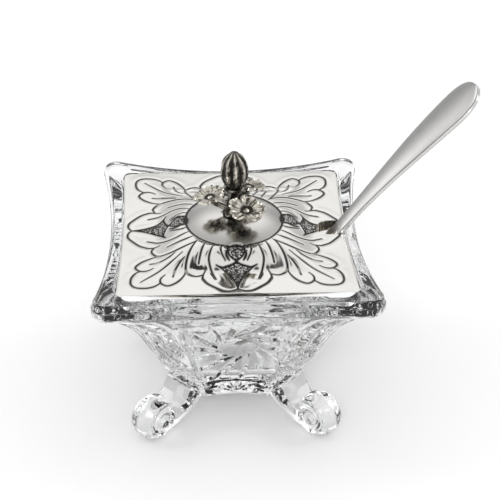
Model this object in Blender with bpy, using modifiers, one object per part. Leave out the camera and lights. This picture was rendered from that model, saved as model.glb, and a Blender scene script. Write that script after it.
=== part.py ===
"""Square cut-glass honey dish on scroll feet, with a chased silver lid, a flower finial and a spoon.

Units are metres, +Z is up. The origin is the centre of the flat underside of the bowl, between
the four feet. +X points to the side on which the spoon leans, -Y to the front.
"""

import math

import bmesh
import bpy
from mathutils import Matrix, Vector

MM = 0.001
AROUND = 2 * math.pi

# Glass dish: plan of the rim
RIM_SPAN = 100 * MM
RIM_HOLLOW = 4.5 * MM
RIM_CORNER_RADIUS = 5 * MM
RIM_CORNER_WIDTH = 7.5 * MM
RIM_SIDE_WIDTH = 4.3 * MM

# Glass dish: heights above the underside of the bowl
RIM_HEIGHT = 60 * MM
RIM_DIP = 2.6 * MM
RIM_BAND = 7.2 * MM
RIM_BAND_ROUND = 1.6 * MM
BAND_SHARES = (
    (0.06, 0.6),
    (0.18, 0.2),
    (0.36, 0.02),
    (0.56, 0.0),
    (0.76, 0.18),
    (0.92, 0.5),
    (1.0, 1.0),
)

# Glass dish: bowl below the rim band
BASE_SPAN = 54.8 * MM
BASE_HOLLOW = 2.2 * MM
BASE_ROUND = 2.4 * MM
BASE_CORNER_RADIUS = 12.5 * MM
CORNER_TAPER_SHARE = 0.6
CHAMFER_TAPER_SHARE = 0.35
WALL = 4.8 * MM
FLOOR_THICKNESS = 6 * MM
BOWL_CORNER_RADIUS = 8 * MM
BOWL_FLOOR_ROUND = 8 * MM
FLARE_SHARES = (
    (0.0, 0.0),
    (0.14, 0.035),
    (0.32, 0.105),
    (0.48, 0.21),
    (0.62, 0.33),
    (0.74, 0.467),
    (0.84, 0.62),
    (0.92, 0.78),
    (0.97, 0.91),
    (1.0, 1.0),
)

# Glass dish: scroll feet
FOOT_DROP = 12 * MM
SCROLL_RADIUS = 8.2 * MM
SCROLL_HALF_WIDTH = 7 * MM
SCROLL_EDGE = 2.6 * MM
SCROLL_REACH = 43.8 * MM
SCROLL_GROOVE = 0.9 * MM
SCROLL_PITCH = 3.9 * MM
SCROLL_SHARES = (0.12, 0.26, 0.4, 0.54, 0.68, 0.83, 0.95, 1.0)
PAD_CUT = 0.3 * MM
LEG_HALF_WIDTH = 8.6 * MM
LEG_SIDE_SHARE = 1.08
# Outer reach and height, inner reach and height, outer and inner width of each leg section
LEG_SHARES = (
    (-0.2, 0.55, -0.5, 0.3, 0.7, 0.8),
    (0.02, 0.4, -0.24, -0.02, 0.72, 0.96),
    (0.2, 0.04, 0.12, -0.42, 0.72, 0.84),
    (0.5, -0.2, 0.46, -0.72, 0.66, 0.68),
    (0.8, -0.33, 0.72, -0.88, 0.5, 0.5),
)

# Lid
SEAT_GAP = 0.3 * MM
LID_CLEARANCE = 0.45 * MM
LID_SINK = 1.7 * MM
LID_SAG = 0.4 * MM
LID_SHEET = 0.9 * MM
LID_CORNER_RADIUS = 3.6 * MM
LEDGE_WIDTH = 1.4 * MM
BORDER_WIDTH = 11.6 * MM
CUSHION_RISE = 4.3 * MM
CUSHION_SHARES = (0.3, 0.6, 0.82)
DOME_RADIUS = 17.3 * MM
DOME_RISE = 3.2 * MM
DOME_SHARES = (1.0, 0.8, 0.58, 0.34)
GROOVE_WIDTH = 0.9 * MM
GROOVE_DEPTH = 0.5 * MM
SKIRT_INSET = 1.6 * MM
SKIRT_SHEET = 0.8 * MM
SKIRT_DROP = 3 * MM

# Spoon notch in the lid
NOTCH_WIDTH = 9.5 * MM
NOTCH_LENGTH = 10.5 * MM
NOTCH_LIP_RADIUS = 2.5 * MM

# Spoon
SPOON_LEAN = math.radians(51.6)
SPOON_INSET = 1.85 * MM
HANDLE_LENGTH = 73 * MM
HANDLE_WIDTH = 20.8 * MM
HANDLE_THICKNESS = 2.2 * MM
HANDLE_BOW = 1.4 * MM
EDGE_THINNING_SHARE = 0.12
NECK_THICKNESS = 2 * MM
SPOON_BOWL_LENGTH = 31 * MM
SPOON_BOWL_WIDTH = 21 * MM
SPOON_BOWL_DEPTH = 5 * MM
SPOON_BOWL_SHEET = 1.2 * MM
SPOON_FLOOR_GAP = 1.2 * MM
HANDLE_SHARES = (
    (0.0, 0.394),
    (0.07, 0.41),
    (0.2, 0.47),
    (0.4, 0.65),
    (0.6, 0.85),
    (0.76, 0.97),
    (0.86, 1.0),
    (0.92, 0.93),
    (0.96, 0.76),
    (0.985, 0.5),
    (1.0, 0.18),
)
NECK_SHARES = ((0.3, 0.36), (0.6, 0.29), (0.85, 0.27), (1.0, 0.3))
BOWL_SHARES = (
    (0.06, 0.34, 0.05),
    (0.14, 0.56, 0.25),
    (0.26, 0.82, 0.62),
    (0.4, 0.97, 0.93),
    (0.54, 1.0, 1.0),
    (0.68, 0.94, 0.88),
    (0.8, 0.79, 0.62),
    (0.9, 0.58, 0.33),
    (0.96, 0.38, 0.13),
    (1.0, 0.14, 0.0),
)
ACROSS_SHARES = (-1.0, -0.82, -0.45, 0.0, 0.45, 0.82, 1.0)

# Finial
SCREW_HOLE_RADIUS = 1.8 * MM
SCREW_RADIUS = 1.5 * MM
SCREW_HEAD_RADIUS = 3.2 * MM
SCREW_HEAD_HEIGHT = 1.6 * MM
SCREW_BITE = 5 * MM
WASHER_RADIUS = 4.2 * MM
WASHER_THICKNESS = 0.7 * MM
STEM_FOOT_RADIUS = 3.9 * MM
STEM_HEIGHT = 11.2 * MM
STEM_SHARES = (
    (0.0, 1.0),
    (0.05, 0.98),
    (0.12, 0.8),
    (0.2, 0.68),
    (0.35, 0.62),
    (0.5, 0.58),
    (0.66, 0.58),
    (0.8, 0.68),
    (0.91, 0.94),
    (1.0, 0.86),
)
STEM_STRANDS = 5
STEM_STRAND_DEPTH = 0.35 * MM
STEM_TWIST = math.radians(110)
BRANCH_RADIUS = 1.1 * MM
BRANCH_ROOT_SHARE = 0.3
BUD_RADIUS = 5.2 * MM
BUD_HEIGHT = 13.4 * MM
BUD_SHARES = (
    (0.0, 0.5),
    (0.05, 0.68),
    (0.13, 0.86),
    (0.24, 0.97),
    (0.36, 1.0),
    (0.5, 0.96),
    (0.63, 0.84),
    (0.75, 0.66),
    (0.85, 0.47),
    (0.92, 0.31),
    (0.955, 0.25),
    (0.985, 0.2),
    (1.0, 0.1),
)
BUD_RIBS = 9
BUD_RIB_DEPTH = 0.42 * MM
BUD_SEPALS = 5
BUD_SEPAL_DEPTH = 0.5 * MM
FLOWER_RADIUS = 6.9 * MM
FLOWER_CUP = 2.2 * MM
FLOWER_SHEET = 0.9 * MM
FLOWER_PETALS = 5
FLOWER_SHARES = (0.2, 0.42, 0.64, 0.84, 1.0)
FLOWER_EYE_RADIUS = 1.5 * MM
FLOWER_LIFT = 4.6 * MM
FLOWER_REACH = 8.6 * MM
FLOWER_TILT = math.radians(12)
FLOWER_PLACES = (
    ("finial_flower_front", math.radians(-62), 1.0, 0.0),
    ("finial_flower_left", math.radians(178), 0.9, 0.2),
    ("finial_flower_back", math.radians(50), 0.88, 0.3),
)

# Mesh density, and how far a cutter runs past what it cuts
SIDE_STEPS = 4
ARC_STEPS = 3
ROUND_STEPS = 3
SCROLL_SEGMENTS = 20
TURN_STEPS = 24
NOTCH_STEPS = 12
LIP_STEPS = 4
BRANCH_SEGMENTS = 10
STEM_SEGMENTS = 25
PETAL_SEGMENTS = 8
RIB_SEGMENTS = 4
EYE_SEGMENTS = 10
MERGE = 0.01 * MM
CUTTER_OVERRUN = 6 * MM

# Sizes worked out from those above
rim_half = RIM_SPAN / 2
rim_side_half = rim_half - RIM_HOLLOW
base_half = BASE_SPAN / 2
base_reach = (BASE_SPAN - BASE_CORNER_RADIUS) / math.sqrt(2)
band_bottom = RIM_HEIGHT - RIM_BAND
seat_half = rim_half - RIM_CORNER_WIDTH
seat_side_half = rim_side_half - RIM_SIDE_WIDTH
lid_half = seat_half - LID_CLEARANCE
lid_side_half = seat_side_half - LID_CLEARANCE
lid_top = RIM_HEIGHT - LID_SINK
lid_side_top = lid_top - LID_SAG
seat_top = lid_top - LID_SHEET - SEAT_GAP
mouth_half = seat_half - LEDGE_WIDTH
mouth_side_half = seat_side_half - LEDGE_WIDTH
dome_base = lid_side_top + CUSHION_RISE
dome_top = dome_base + DOME_RISE
skirt_bottom = lid_side_top - LID_SHEET - SKIRT_DROP
spoon_point = Vector((lid_side_half - SPOON_INSET, 0, lid_side_top))
spoon_along = Vector((math.cos(SPOON_LEAN), 0, math.sin(SPOON_LEAN)))
spoon_normal = Vector((-math.sin(SPOON_LEAN), 0, math.cos(SPOON_LEAN)))
spoon_below = (lid_side_top - FLOOR_THICKNESS - SPOON_FLOOR_GAP) / math.sin(SPOON_LEAN)
neck_length = spoon_below - SPOON_BOWL_LENGTH
stem_foot = dome_top + SEAT_GAP
bud_foot = stem_foot + STEM_HEIGHT + SEAT_GAP


def make_material(name, color, metallic, roughness, transmission=0.0):
    """Return a plain Principled material."""
    material = bpy.data.materials.new(name)
    material.use_nodes = True
    shader = material.node_tree.nodes["Principled BSDF"]
    shader.inputs["Base Color"].default_value = (*color, 1.0)
    shader.inputs["Metallic"].default_value = metallic
    shader.inputs["Roughness"].default_value = roughness
    shader.inputs["Transmission Weight"].default_value = transmission
    return material


def new_object(name, mesh_data, collection, material=None):
    """Return an object for the bmesh, with its normals turned outwards."""
    bmesh.ops.recalc_face_normals(mesh_data, faces=mesh_data.faces)
    mesh = bpy.data.meshes.new(name)
    mesh_data.to_mesh(mesh)
    mesh_data.free()
    mesh.shade_smooth()
    mesh.set_sharp_from_angle(angle=math.radians(32))
    if material:
        mesh.materials.append(material)
    made = bpy.data.objects.new(name, mesh)
    collection.objects.link(made)
    return made


def as_helper(made):
    """Mark an object as a cutter or joiner that is no piece of its own."""
    made.hide_render = True
    made.display_type = "WIRE"
    return made


def combine(target, other, operation):
    """Add an exact Boolean of the other object to the target."""
    modifier = target.modifiers.new(f"{operation.lower()}_{other.name}", "BOOLEAN")
    modifier.operation = operation
    modifier.solver = "EXACT"
    modifier.object = other
    return modifier


def square_plan(half, side_half, radius, chamfer=0.0):
    """Return (points, shares) of a square whose sides draw in from half to side_half at their middles.

    Each share is 0 at the middle of a side and 1 on the corners, which go from round to a flat
    chamfer as chamfer goes from 0 to 1.
    """
    centre = half - radius
    lean = 0.0
    for _ in range(8):
        run = centre - radius * math.sin(lean)
        lean = math.atan2(2 * (centre + radius * math.cos(lean) - side_half), run)
    start_x = centre + radius * math.cos(lean)
    start_y = centre - radius * math.sin(lean)
    eighth = []
    for step in range(SIDE_STEPS):
        share = step / SIDE_STEPS
        eighth.append((side_half + (start_x - side_half) * share**2, start_y * share, share))
    chord = start_x + start_y
    for step in range(ARC_STEPS + 1):
        angle = -lean + (math.pi / 4 + lean) * step / ARC_STEPS
        x = centre + radius * math.cos(angle)
        y = centre + radius * math.sin(angle)
        drop = (x + y - chord) / 2 * chamfer
        eighth.append((x - drop, y - drop, 1.0))
    mirrored = [(y, x, share) for x, y, share in reversed(eighth[1:-1])]
    quarter = eighth + mirrored
    points, shares = [], []
    for turn in range(4):
        spin = Matrix.Rotation(turn * math.pi / 2, 2)
        for x, y, share in quarter:
            points.append(spin @ Vector((x, y)))
            shares.append(share)
    return points, shares


def plan_ring(half, side_half, radius, height, dip=0.0, chamfer=0.0):
    """Return a ring of 3D points that lies dip lower at the middles of its sides."""
    points, shares = square_plan(half, side_half, radius, chamfer)
    return [
        Vector((point.x, point.y, height - dip * (1 - share**2)))
        for point, share in zip(points, shares)
    ]


def circle_ring_like(ring, radius, height):
    """Return a circle whose points stand at the same angles as those of the ring."""
    made = []
    for point in ring:
        angle = math.atan2(point.y, point.x)
        made.append(Vector((radius * math.cos(angle), radius * math.sin(angle), height)))
    return made


def blend_rings(first, second, share, height_share):
    """Return the ring that lies the given share of the way from the first to the second."""
    made = []
    for a, b in zip(first, second):
        flat = a.lerp(b, share)
        made.append(Vector((flat.x, flat.y, a.z + (b.z - a.z) * height_share)))
    return made


def loft(rings, close_ends=True, close_round=False):
    """Return a bmesh with quads between rings of equal length."""
    mesh_data = bmesh.new()
    rows = [[mesh_data.verts.new(point) for point in ring] for ring in rings]
    if close_round:
        rows.append(rows[0])
    count = len(rows[0])
    for lower, upper in zip(rows, rows[1:]):
        for i in range(count):
            j = (i + 1) % count
            mesh_data.faces.new((lower[i], lower[j], upper[j], upper[i]))
    if close_ends and not close_round:
        mesh_data.faces.new(list(reversed(rows[0])))
        mesh_data.faces.new(rows[-1])
    return mesh_data


def prism(outline, bottom, top):
    """Return a bmesh of a flat outline standing between two heights."""
    rings = [[Vector((x, y, z)) for x, y in outline] for z in (bottom, top)]
    return loft(rings)


def smooth_share(share):
    """Return an eased share, level at 0 and 1."""
    return share * share * (3 - 2 * share)


def share_at(table, position):
    """Return the straight-line value at a position of a table of (position, value) shares."""
    for (low, low_value), (high, high_value) in zip(table, table[1:]):
        if position <= high:
            return low_value + (high_value - low_value) * (position - low) / (high - low)
    return table[-1][1]


def outer_sizes(height):
    """Return (half, side half, corner radius, chamfer) of the outside of the bowl at a height."""
    share = max(0.0, (height - BASE_ROUND) / (band_bottom - BASE_ROUND))
    reach = share_at(FLARE_SHARES, share)
    band_half = rim_half - RIM_BAND_ROUND
    half = base_half + (band_half - base_half) * reach
    hollow = BASE_HOLLOW + (RIM_HOLLOW - BASE_HOLLOW) * share
    band_radius = RIM_CORNER_RADIUS - RIM_BAND_ROUND
    taper = smooth_share(min(1.0, share / CORNER_TAPER_SHARE))
    radius = BASE_CORNER_RADIUS + (band_radius - BASE_CORNER_RADIUS) * taper
    chamfer = 1 - smooth_share(min(1.0, share / CHAMFER_TAPER_SHARE))
    return half, half - hollow, radius, chamfer


def outside_rings():
    """Return the rings of the bowl's outside, from its flat underside up to the rim band."""
    rings = []
    half, side_half, radius, chamfer = outer_sizes(0)
    for step in range(ROUND_STEPS + 1):
        angle = math.pi / 2 * step / ROUND_STEPS
        inset = BASE_ROUND * (1 - math.sin(angle))
        height = BASE_ROUND * (1 - math.cos(angle))
        rings.append(plan_ring(half - inset, side_half - inset, radius - inset, height, 0, chamfer))
    for share, _ in FLARE_SHARES[1:]:
        height = BASE_ROUND + (band_bottom - BASE_ROUND) * share
        half, side_half, radius, chamfer = outer_sizes(height)
        dip = RIM_DIP * smooth_share(max(0.0, share - 0.5) * 2)
        rings.append(plan_ring(half, side_half, radius, height, dip, chamfer))
    return rings


def rim_rings():
    """Return the rings of the rim band, of the ledge on which the lid rests and of the mouth."""
    rings = []
    for rise, inset_share in BAND_SHARES:
        inset = RIM_BAND_ROUND * inset_share
        height = band_bottom + RIM_BAND * rise
        rings.append(
            plan_ring(rim_half - inset, rim_side_half - inset, RIM_CORNER_RADIUS - inset, height, RIM_DIP)
        )
    seat = (seat_half, seat_side_half, LID_CORNER_RADIUS + LID_CLEARANCE)
    mouth = (mouth_half, mouth_side_half, BOWL_CORNER_RADIUS / 2)
    rings.append(plan_ring(*seat, RIM_HEIGHT, RIM_DIP))
    rings.append(plan_ring(*seat, seat_top, LID_SAG))
    rings.append(plan_ring(*mouth, seat_top, LID_SAG))
    rings.append(plan_ring(*mouth, skirt_bottom - SEAT_GAP))
    return rings


def inside_rings():
    """Return the rings of the bowl's inside, from below the mouth down to its flat floor."""
    rings = []
    for share, _ in reversed(FLARE_SHARES[3:-2]):
        height = BASE_ROUND + (band_bottom - BASE_ROUND) * share
        inner = outer_sizes(height)[1] - WALL
        rings.append(plan_ring(inner, inner, BOWL_CORNER_RADIUS, height))
    floor_half = outer_sizes(FLOOR_THICKNESS + BOWL_FLOOR_ROUND)[1] - WALL
    for step in range(ROUND_STEPS + 1):
        angle = math.pi / 2 * step / ROUND_STEPS
        inner = floor_half - BOWL_FLOOR_ROUND * (1 - math.cos(angle))
        height = FLOOR_THICKNESS + BOWL_FLOOR_ROUND * (1 - math.sin(angle))
        rings.append(plan_ring(inner, inner, min(BOWL_CORNER_RADIUS, inner / 2), height))
    return rings


def scroll_half_width(reach, angle):
    """Return the half width of a scroll at a polar place on its side, with the spiral groove sunk in."""
    share = reach / SCROLL_RADIUS
    barrel = SCROLL_EDGE + (SCROLL_HALF_WIDTH - SCROLL_EDGE) * math.sqrt(max(0.0, 1 - share**2))
    turn = reach / SCROLL_PITCH - angle / AROUND
    ridge = 0.5 + 0.5 * math.cos(AROUND * turn)
    groove = SCROLL_GROOVE * (1 - ridge) * smooth_share(min(1.0, 2 * share))
    return barrel - groove * (1 - share**6)


def make_scroll(collection):
    """Return the barrel-shaped volute of one foot, its axis across the diagonal."""
    rings = []
    reaches = [SCROLL_RADIUS * share for share in SCROLL_SHARES]
    sides = [(1, reaches), (-1, list(reversed(reaches)))]
    for side, places in sides:
        for reach in places:
            ring = []
            for i in range(SCROLL_SEGMENTS):
                angle = AROUND * i / SCROLL_SEGMENTS
                across = side * scroll_half_width(reach, angle)
                ring.append(Vector((reach * math.cos(angle), across, reach * math.sin(angle))))
            rings.append(ring)
    made = new_object("scroll", loft(rings), collection)
    made.location = (SCROLL_REACH, 0, SCROLL_RADIUS - FOOT_DROP - PAD_CUT)
    return as_helper(made)


def make_leg(collection):
    """Return the faceted ankle that joins one corner of the bowl to its scroll."""
    run = SCROLL_REACH - base_reach
    sections = []
    for outer_reach, outer_height, inner_reach, inner_height, outer_width, inner_width in LEG_SHARES:
        outer = Vector((base_reach + run * outer_reach, 0, FOOT_DROP * outer_height))
        inner = Vector((base_reach + run * inner_reach, 0, FOOT_DROP * inner_height))
        outer_across = Vector((0, LEG_HALF_WIDTH * outer_width, 0))
        inner_across = Vector((0, LEG_HALF_WIDTH * inner_width, 0))
        middle = (outer + inner) / 2
        side_across = (outer_across + inner_across) / 2 * LEG_SIDE_SHARE
        sections.append(
            [
                outer - outer_across, outer + outer_across, middle + side_across,
                inner + inner_across, inner - inner_across, middle - side_across,
            ]
        )
    return as_helper(new_object("leg", loft(sections), collection))


def make_dish(parts, helpers, glass):
    """Build the glass dish: bowl, rim and four scroll feet in one moulding."""
    wall = outside_rings() + rim_rings() + inside_rings()
    dish = new_object("crystal_dish", loft(wall), parts, glass)
    scroll = make_scroll(helpers)
    leg = make_leg(helpers)
    combine(leg, scroll, "UNION")
    pad = bmesh.new()
    bmesh.ops.create_cube(pad, size=1.0)
    pad_cutter = as_helper(new_object("pad_cutter", pad, helpers))
    pad_cutter.scale = (RIM_SPAN, RIM_SPAN, CUTTER_OVERRUN)
    pad_cutter.location = (SCROLL_REACH, 0, -FOOT_DROP - CUTTER_OVERRUN / 2)
    combine(leg, pad_cutter, "DIFFERENCE")
    bpy.context.view_layer.update()
    graph = bpy.context.evaluated_depsgraph_get()
    foot_mesh = bpy.data.meshes.new_from_object(leg.evaluated_get(graph))
    for index in range(4):
        foot = bpy.data.objects.new(f"foot_{index}", foot_mesh)
        helpers.objects.link(foot)
        foot.rotation_euler = (0, 0, math.pi / 4 + index * math.pi / 2)
        as_helper(foot)
        combine(dish, foot, "UNION")
    return dish


def lid_rings():
    """Return the rings of the lid's top face, from its edge to the screw hole in the dome."""
    edge = plan_ring(lid_half, lid_side_half, LID_CORNER_RADIUS, lid_top, LID_SAG)
    border = plan_ring(
        lid_half - BORDER_WIDTH, lid_side_half - BORDER_WIDTH, 2 * LID_CORNER_RADIUS, lid_top, LID_SAG
    )
    groove_outer = circle_ring_like(edge, DOME_RADIUS + GROOVE_WIDTH, dome_base)
    rings = [edge, blend_rings(edge, border, 0.5, 0.5), border]
    for share in CUSHION_SHARES:
        rings.append(blend_rings(border, groove_outer, share, smooth_share(share)))
    rings.append(groove_outer)
    rings.append(circle_ring_like(edge, DOME_RADIUS + GROOVE_WIDTH / 2, dome_base - GROOVE_DEPTH))
    dome_sphere = (DOME_RADIUS**2 + DOME_RISE**2) / (2 * DOME_RISE)
    for share in DOME_SHARES:
        radius = DOME_RADIUS * share
        height = dome_top - dome_sphere + math.sqrt(dome_sphere**2 - radius**2)
        rings.append(circle_ring_like(edge, radius, height))
    rings.append(circle_ring_like(edge, SCREW_HOLE_RADIUS, dome_top))
    return rings


def notch_outline(inner_half, end_x, lip_radius):
    """Return the outline of the notch: a half round towards the dome, open at the lid's edge."""
    centre_x = lid_side_half - NOTCH_LENGTH + NOTCH_WIDTH / 2
    outline = []
    for step in range(NOTCH_STEPS + 1):
        angle = math.pi / 2 + math.pi * step / NOTCH_STEPS
        outline.append((centre_x + inner_half * math.cos(angle), inner_half * math.sin(angle)))
    if not lip_radius:
        return outline + [(end_x, -inner_half), (end_x, inner_half)]
    lip_x = lid_side_half - lip_radius
    lower = []
    for step in range(LIP_STEPS + 1):
        angle = math.pi / 2 * (1 - step / LIP_STEPS)
        lower.append((lip_x + lip_radius * math.cos(angle), -inner_half - lip_radius * (1 - math.sin(angle))))
    lower.append((end_x, -inner_half - lip_radius))
    upper = [(x, -y) for x, y in reversed(lower)]
    return outline + lower + upper


def make_lid(parts, helpers, silver):
    """Build the lid: one silver sheet with a cushioned field, a dome, a skirt and the spoon notch."""
    top_face = loft(lid_rings(), close_ends=False)
    lid = new_object("lid_plate", top_face, parts, silver)
    if lid.data.polygons[0].normal.z < 0:
        lid.data.flip_normals()
    sheet = lid.modifiers.new("sheet", "SOLIDIFY")
    sheet.thickness = LID_SHEET
    sheet.offset = -1
    mid_sheet = LID_SHEET / 2
    skirt_rings = []
    for inset, height in (
        (SKIRT_INSET, lid_top - LID_SHEET - SKIRT_DROP),
        (SKIRT_INSET, lid_top - mid_sheet),
        (SKIRT_INSET + SKIRT_SHEET, lid_top - mid_sheet),
        (SKIRT_INSET + SKIRT_SHEET, lid_top - LID_SHEET - SKIRT_DROP),
    ):
        skirt_rings.append(plan_ring(lid_half - inset, lid_side_half - inset, LID_CORNER_RADIUS, height, LID_SAG))
    skirt = as_helper(new_object("skirt", loft(skirt_rings, close_round=True), helpers))
    combine(lid, skirt, "UNION")
    notch_half = NOTCH_WIDTH / 2
    wall_outline = notch_outline(notch_half + SKIRT_SHEET, lid_side_half - SKIRT_INSET - SKIRT_SHEET / 4, 0)
    wall = as_helper(new_object("notch_wall", prism(wall_outline, skirt_bottom, lid_side_top - mid_sheet), helpers))
    combine(lid, wall, "UNION")
    cut_outline = notch_outline(notch_half, lid_side_half + CUTTER_OVERRUN, NOTCH_LIP_RADIUS)
    cutter = prism(cut_outline, skirt_bottom - CUTTER_OVERRUN, lid_top + CUTTER_OVERRUN)
    combine(lid, as_helper(new_object("notch_cutter", cutter, helpers)), "DIFFERENCE")
    return lid


def spoon_section(along, half_width, thickness, depth):
    """Return the ring of one cross-section of the spoon, its middle sunk below the straight line by depth."""
    handle_share = max(0.0, along / HANDLE_LENGTH)
    bow = 4 * HANDLE_BOW * handle_share * (1 - handle_share)
    centre = spoon_point + spoon_along * along + spoon_normal * bow
    upper, lower = [], []
    for share in ACROSS_SHARES:
        sink = depth * (1 - share**2)
        edge = thickness * (0.5 - EDGE_THINNING_SHARE * share**6)
        across = Vector((0, share * half_width, 0))
        upper.append(centre + across + spoon_normal * (edge - sink))
        lower.append(centre + across + spoon_normal * (-edge - sink))
    return upper + list(reversed(lower))


def make_spoon(parts, silver):
    """Build the spoon: a flaring flat handle, a narrow neck and a dished bowl, as one loft."""
    sections = []
    for position, width in reversed(HANDLE_SHARES):
        sections.append(
            spoon_section(position * HANDLE_LENGTH, width * HANDLE_WIDTH / 2, HANDLE_THICKNESS, 0)
        )
    for position, width in NECK_SHARES:
        sections.append(spoon_section(-position * neck_length, width * HANDLE_WIDTH / 2, NECK_THICKNESS, 0))
    for position, width, depth in BOWL_SHARES:
        along = -neck_length - position * SPOON_BOWL_LENGTH
        thickness = NECK_THICKNESS + (SPOON_BOWL_SHEET - NECK_THICKNESS) * min(1.0, 3 * position)
        sections.append(
            spoon_section(along, width * SPOON_BOWL_WIDTH / 2, thickness, depth * SPOON_BOWL_DEPTH)
        )
    return new_object("honey_spoon", loft(sections), parts, silver)


def turned(name, profile, collection, closed=False):
    """Return a solid turned about Z from (radius, height) pairs that run down its outer side."""
    mesh = bpy.data.meshes.new(name)
    points = [(radius, 0, height) for radius, height in profile]
    edges = [(i, i + 1) for i in range(len(points) - 1)]
    if closed:
        edges.append((len(points) - 1, 0))
    mesh.from_pydata(points, edges, [])
    made = bpy.data.objects.new(name, mesh)
    collection.objects.link(made)
    screw = made.modifiers.new("turn", "SCREW")
    screw.steps = TURN_STEPS
    screw.render_steps = TURN_STEPS
    screw.use_merge_vertices = True
    screw.merge_threshold = MERGE
    return made


def make_branch(name, angle, lift_share, helpers):
    """Return the short twig that carries one flower, from inside the stem to under its petals."""
    start = Vector((0, 0, stem_foot + FLOWER_LIFT * BRANCH_ROOT_SHARE))
    drop = FLOWER_SHEET + SEAT_GAP + 1.4 * BRANCH_RADIUS
    end = flower_place(angle, lift_share) - flower_axis(angle) * drop
    run = end - start
    twig = bmesh.new()
    bmesh.ops.create_cone(
        twig, cap_ends=True, segments=BRANCH_SEGMENTS, radius1=1.2 * BRANCH_RADIUS, radius2=BRANCH_RADIUS,
        depth=run.length,
    )
    branch = as_helper(new_object(f"branch_{name}", twig, helpers))
    branch.location = (start + end) / 2
    branch.rotation_mode = "QUATERNION"
    branch.rotation_quaternion = run.to_track_quat("Z", "Y")
    return branch


def make_stem(parts, helpers, silver):
    """Build the twisted stem with its foot, calyx, screw socket and three twigs."""
    rings = []
    for share, radius_share in STEM_SHARES:
        depth = STEM_STRAND_DEPTH * math.sin(math.pi * min(1.0, share + 0.12))
        ring = []
        for i in range(STEM_SEGMENTS):
            angle = AROUND * i / STEM_SEGMENTS
            wave = math.cos(STEM_STRANDS * (angle - STEM_TWIST * share))
            reach = radius_share * STEM_FOOT_RADIUS + depth * wave
            height = stem_foot + share * STEM_HEIGHT
            ring.append(Vector((reach * math.cos(angle), reach * math.sin(angle), height)))
        rings.append(ring)
    stem = new_object("finial_stem", loft(rings), parts, silver)
    for name, angle, _, lift_share in FLOWER_PLACES:
        combine(stem, make_branch(name, angle, lift_share, helpers), "UNION")
    socket_top = stem_foot + SCREW_BITE + SEAT_GAP
    socket_bottom = stem_foot - CUTTER_OVERRUN
    profile = ((0, socket_top), (SCREW_HOLE_RADIUS, socket_top), (SCREW_HOLE_RADIUS, socket_bottom), (0, socket_bottom))
    combine(stem, as_helper(turned("screw_socket", profile, helpers)), "DIFFERENCE")
    return stem


def flower_axis(angle):
    """Return the direction that a flower faces."""
    lean = math.sin(FLOWER_TILT)
    return Vector((lean * math.cos(angle), lean * math.sin(angle), math.cos(FLOWER_TILT)))


def flower_place(angle, lift_share):
    """Return the middle of the back of a flower."""
    height = stem_foot + FLOWER_LIFT * (1 + lift_share)
    return Vector((FLOWER_REACH * math.cos(angle), FLOWER_REACH * math.sin(angle), height))


def petal_reach(angle):
    """Return the outline of the flower at an angle, 1 at the tip of a petal."""
    wave = abs(math.cos(FLOWER_PETALS * angle / 2))
    return 0.65 + 0.35 * wave**0.6


def make_flower(name, angle, size_share, lift_share, parts, helpers, silver):
    """Build one cupped five-petal flower with a round eye."""
    radius = FLOWER_RADIUS * size_share
    segments = PETAL_SEGMENTS * FLOWER_PETALS
    rings = []
    for reach_share in FLOWER_SHARES:
        ring = []
        for i in range(segments):
            turn = AROUND * i / segments
            reach = radius * reach_share * (1 + (petal_reach(turn) - 1) * reach_share**2)
            middle = abs(math.cos(FLOWER_PETALS * turn / 2))
            cup = FLOWER_CUP * size_share * (reach_share**1.6 - 0.42 * reach_share**2 * middle)
            curl = 0.1 * FLOWER_CUP * reach_share**4 * math.cos(2 * FLOWER_PETALS * turn)
            ring.append(Vector((reach * math.cos(turn), reach * math.sin(turn), cup + curl)))
        rings.append(ring)
    surface = loft(rings, close_ends=False)
    surface.verts.ensure_lookup_table()
    surface.faces.new([surface.verts[i] for i in range(segments)])
    flower = new_object(name, surface, parts, silver)
    if flower.data.polygons[-1].normal.z < 0:
        flower.data.flip_normals()
    sheet = flower.modifiers.new("sheet", "SOLIDIFY")
    sheet.thickness = FLOWER_SHEET
    sheet.offset = -1
    eye = bmesh.new()
    bmesh.ops.create_uvsphere(
        eye, u_segments=EYE_SEGMENTS, v_segments=EYE_SEGMENTS // 2, radius=FLOWER_EYE_RADIUS * size_share
    )
    eye_object = as_helper(new_object(f"eye_{name}", eye, helpers))
    eye_object.parent = flower
    eye_object.scale = (1, 1, 0.8)
    combine(flower, eye_object, "UNION")
    flower.location = flower_place(angle, lift_share)
    flower.rotation_euler = (0, FLOWER_TILT, angle)
    return flower


def make_bud(parts, silver):
    """Build the ribbed bud with a ring of sepals round its lower third."""
    segments = RIB_SEGMENTS * BUD_RIBS
    rings = []
    for height_share, radius_share in BUD_SHARES:
        height = bud_foot + height_share * BUD_HEIGHT
        fade = math.sin(math.pi * min(1.0, height_share * 1.02 + 0.02))
        ring = []
        for i in range(segments):
            angle = AROUND * i / segments
            rib = abs(math.cos(BUD_RIBS * angle / 2 + 0.7 * height_share))
            tip = 0.46 * abs(math.cos(BUD_SEPALS * angle / 2))
            sepal = BUD_SEPAL_DEPTH * smooth_share(max(0.0, min(1.0, (tip - height_share) * 9 + 0.5)))
            reach = BUD_RADIUS * radius_share - BUD_SEPAL_DEPTH + (sepal - BUD_RIB_DEPTH * (1 - rib)) * fade
            reach = max(reach, 0.06 * BUD_RADIUS)
            ring.append(Vector((reach * math.cos(angle), reach * math.sin(angle), height)))
        rings.append(ring)
    return new_object("finial_bud", loft(rings), parts, silver)


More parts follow.
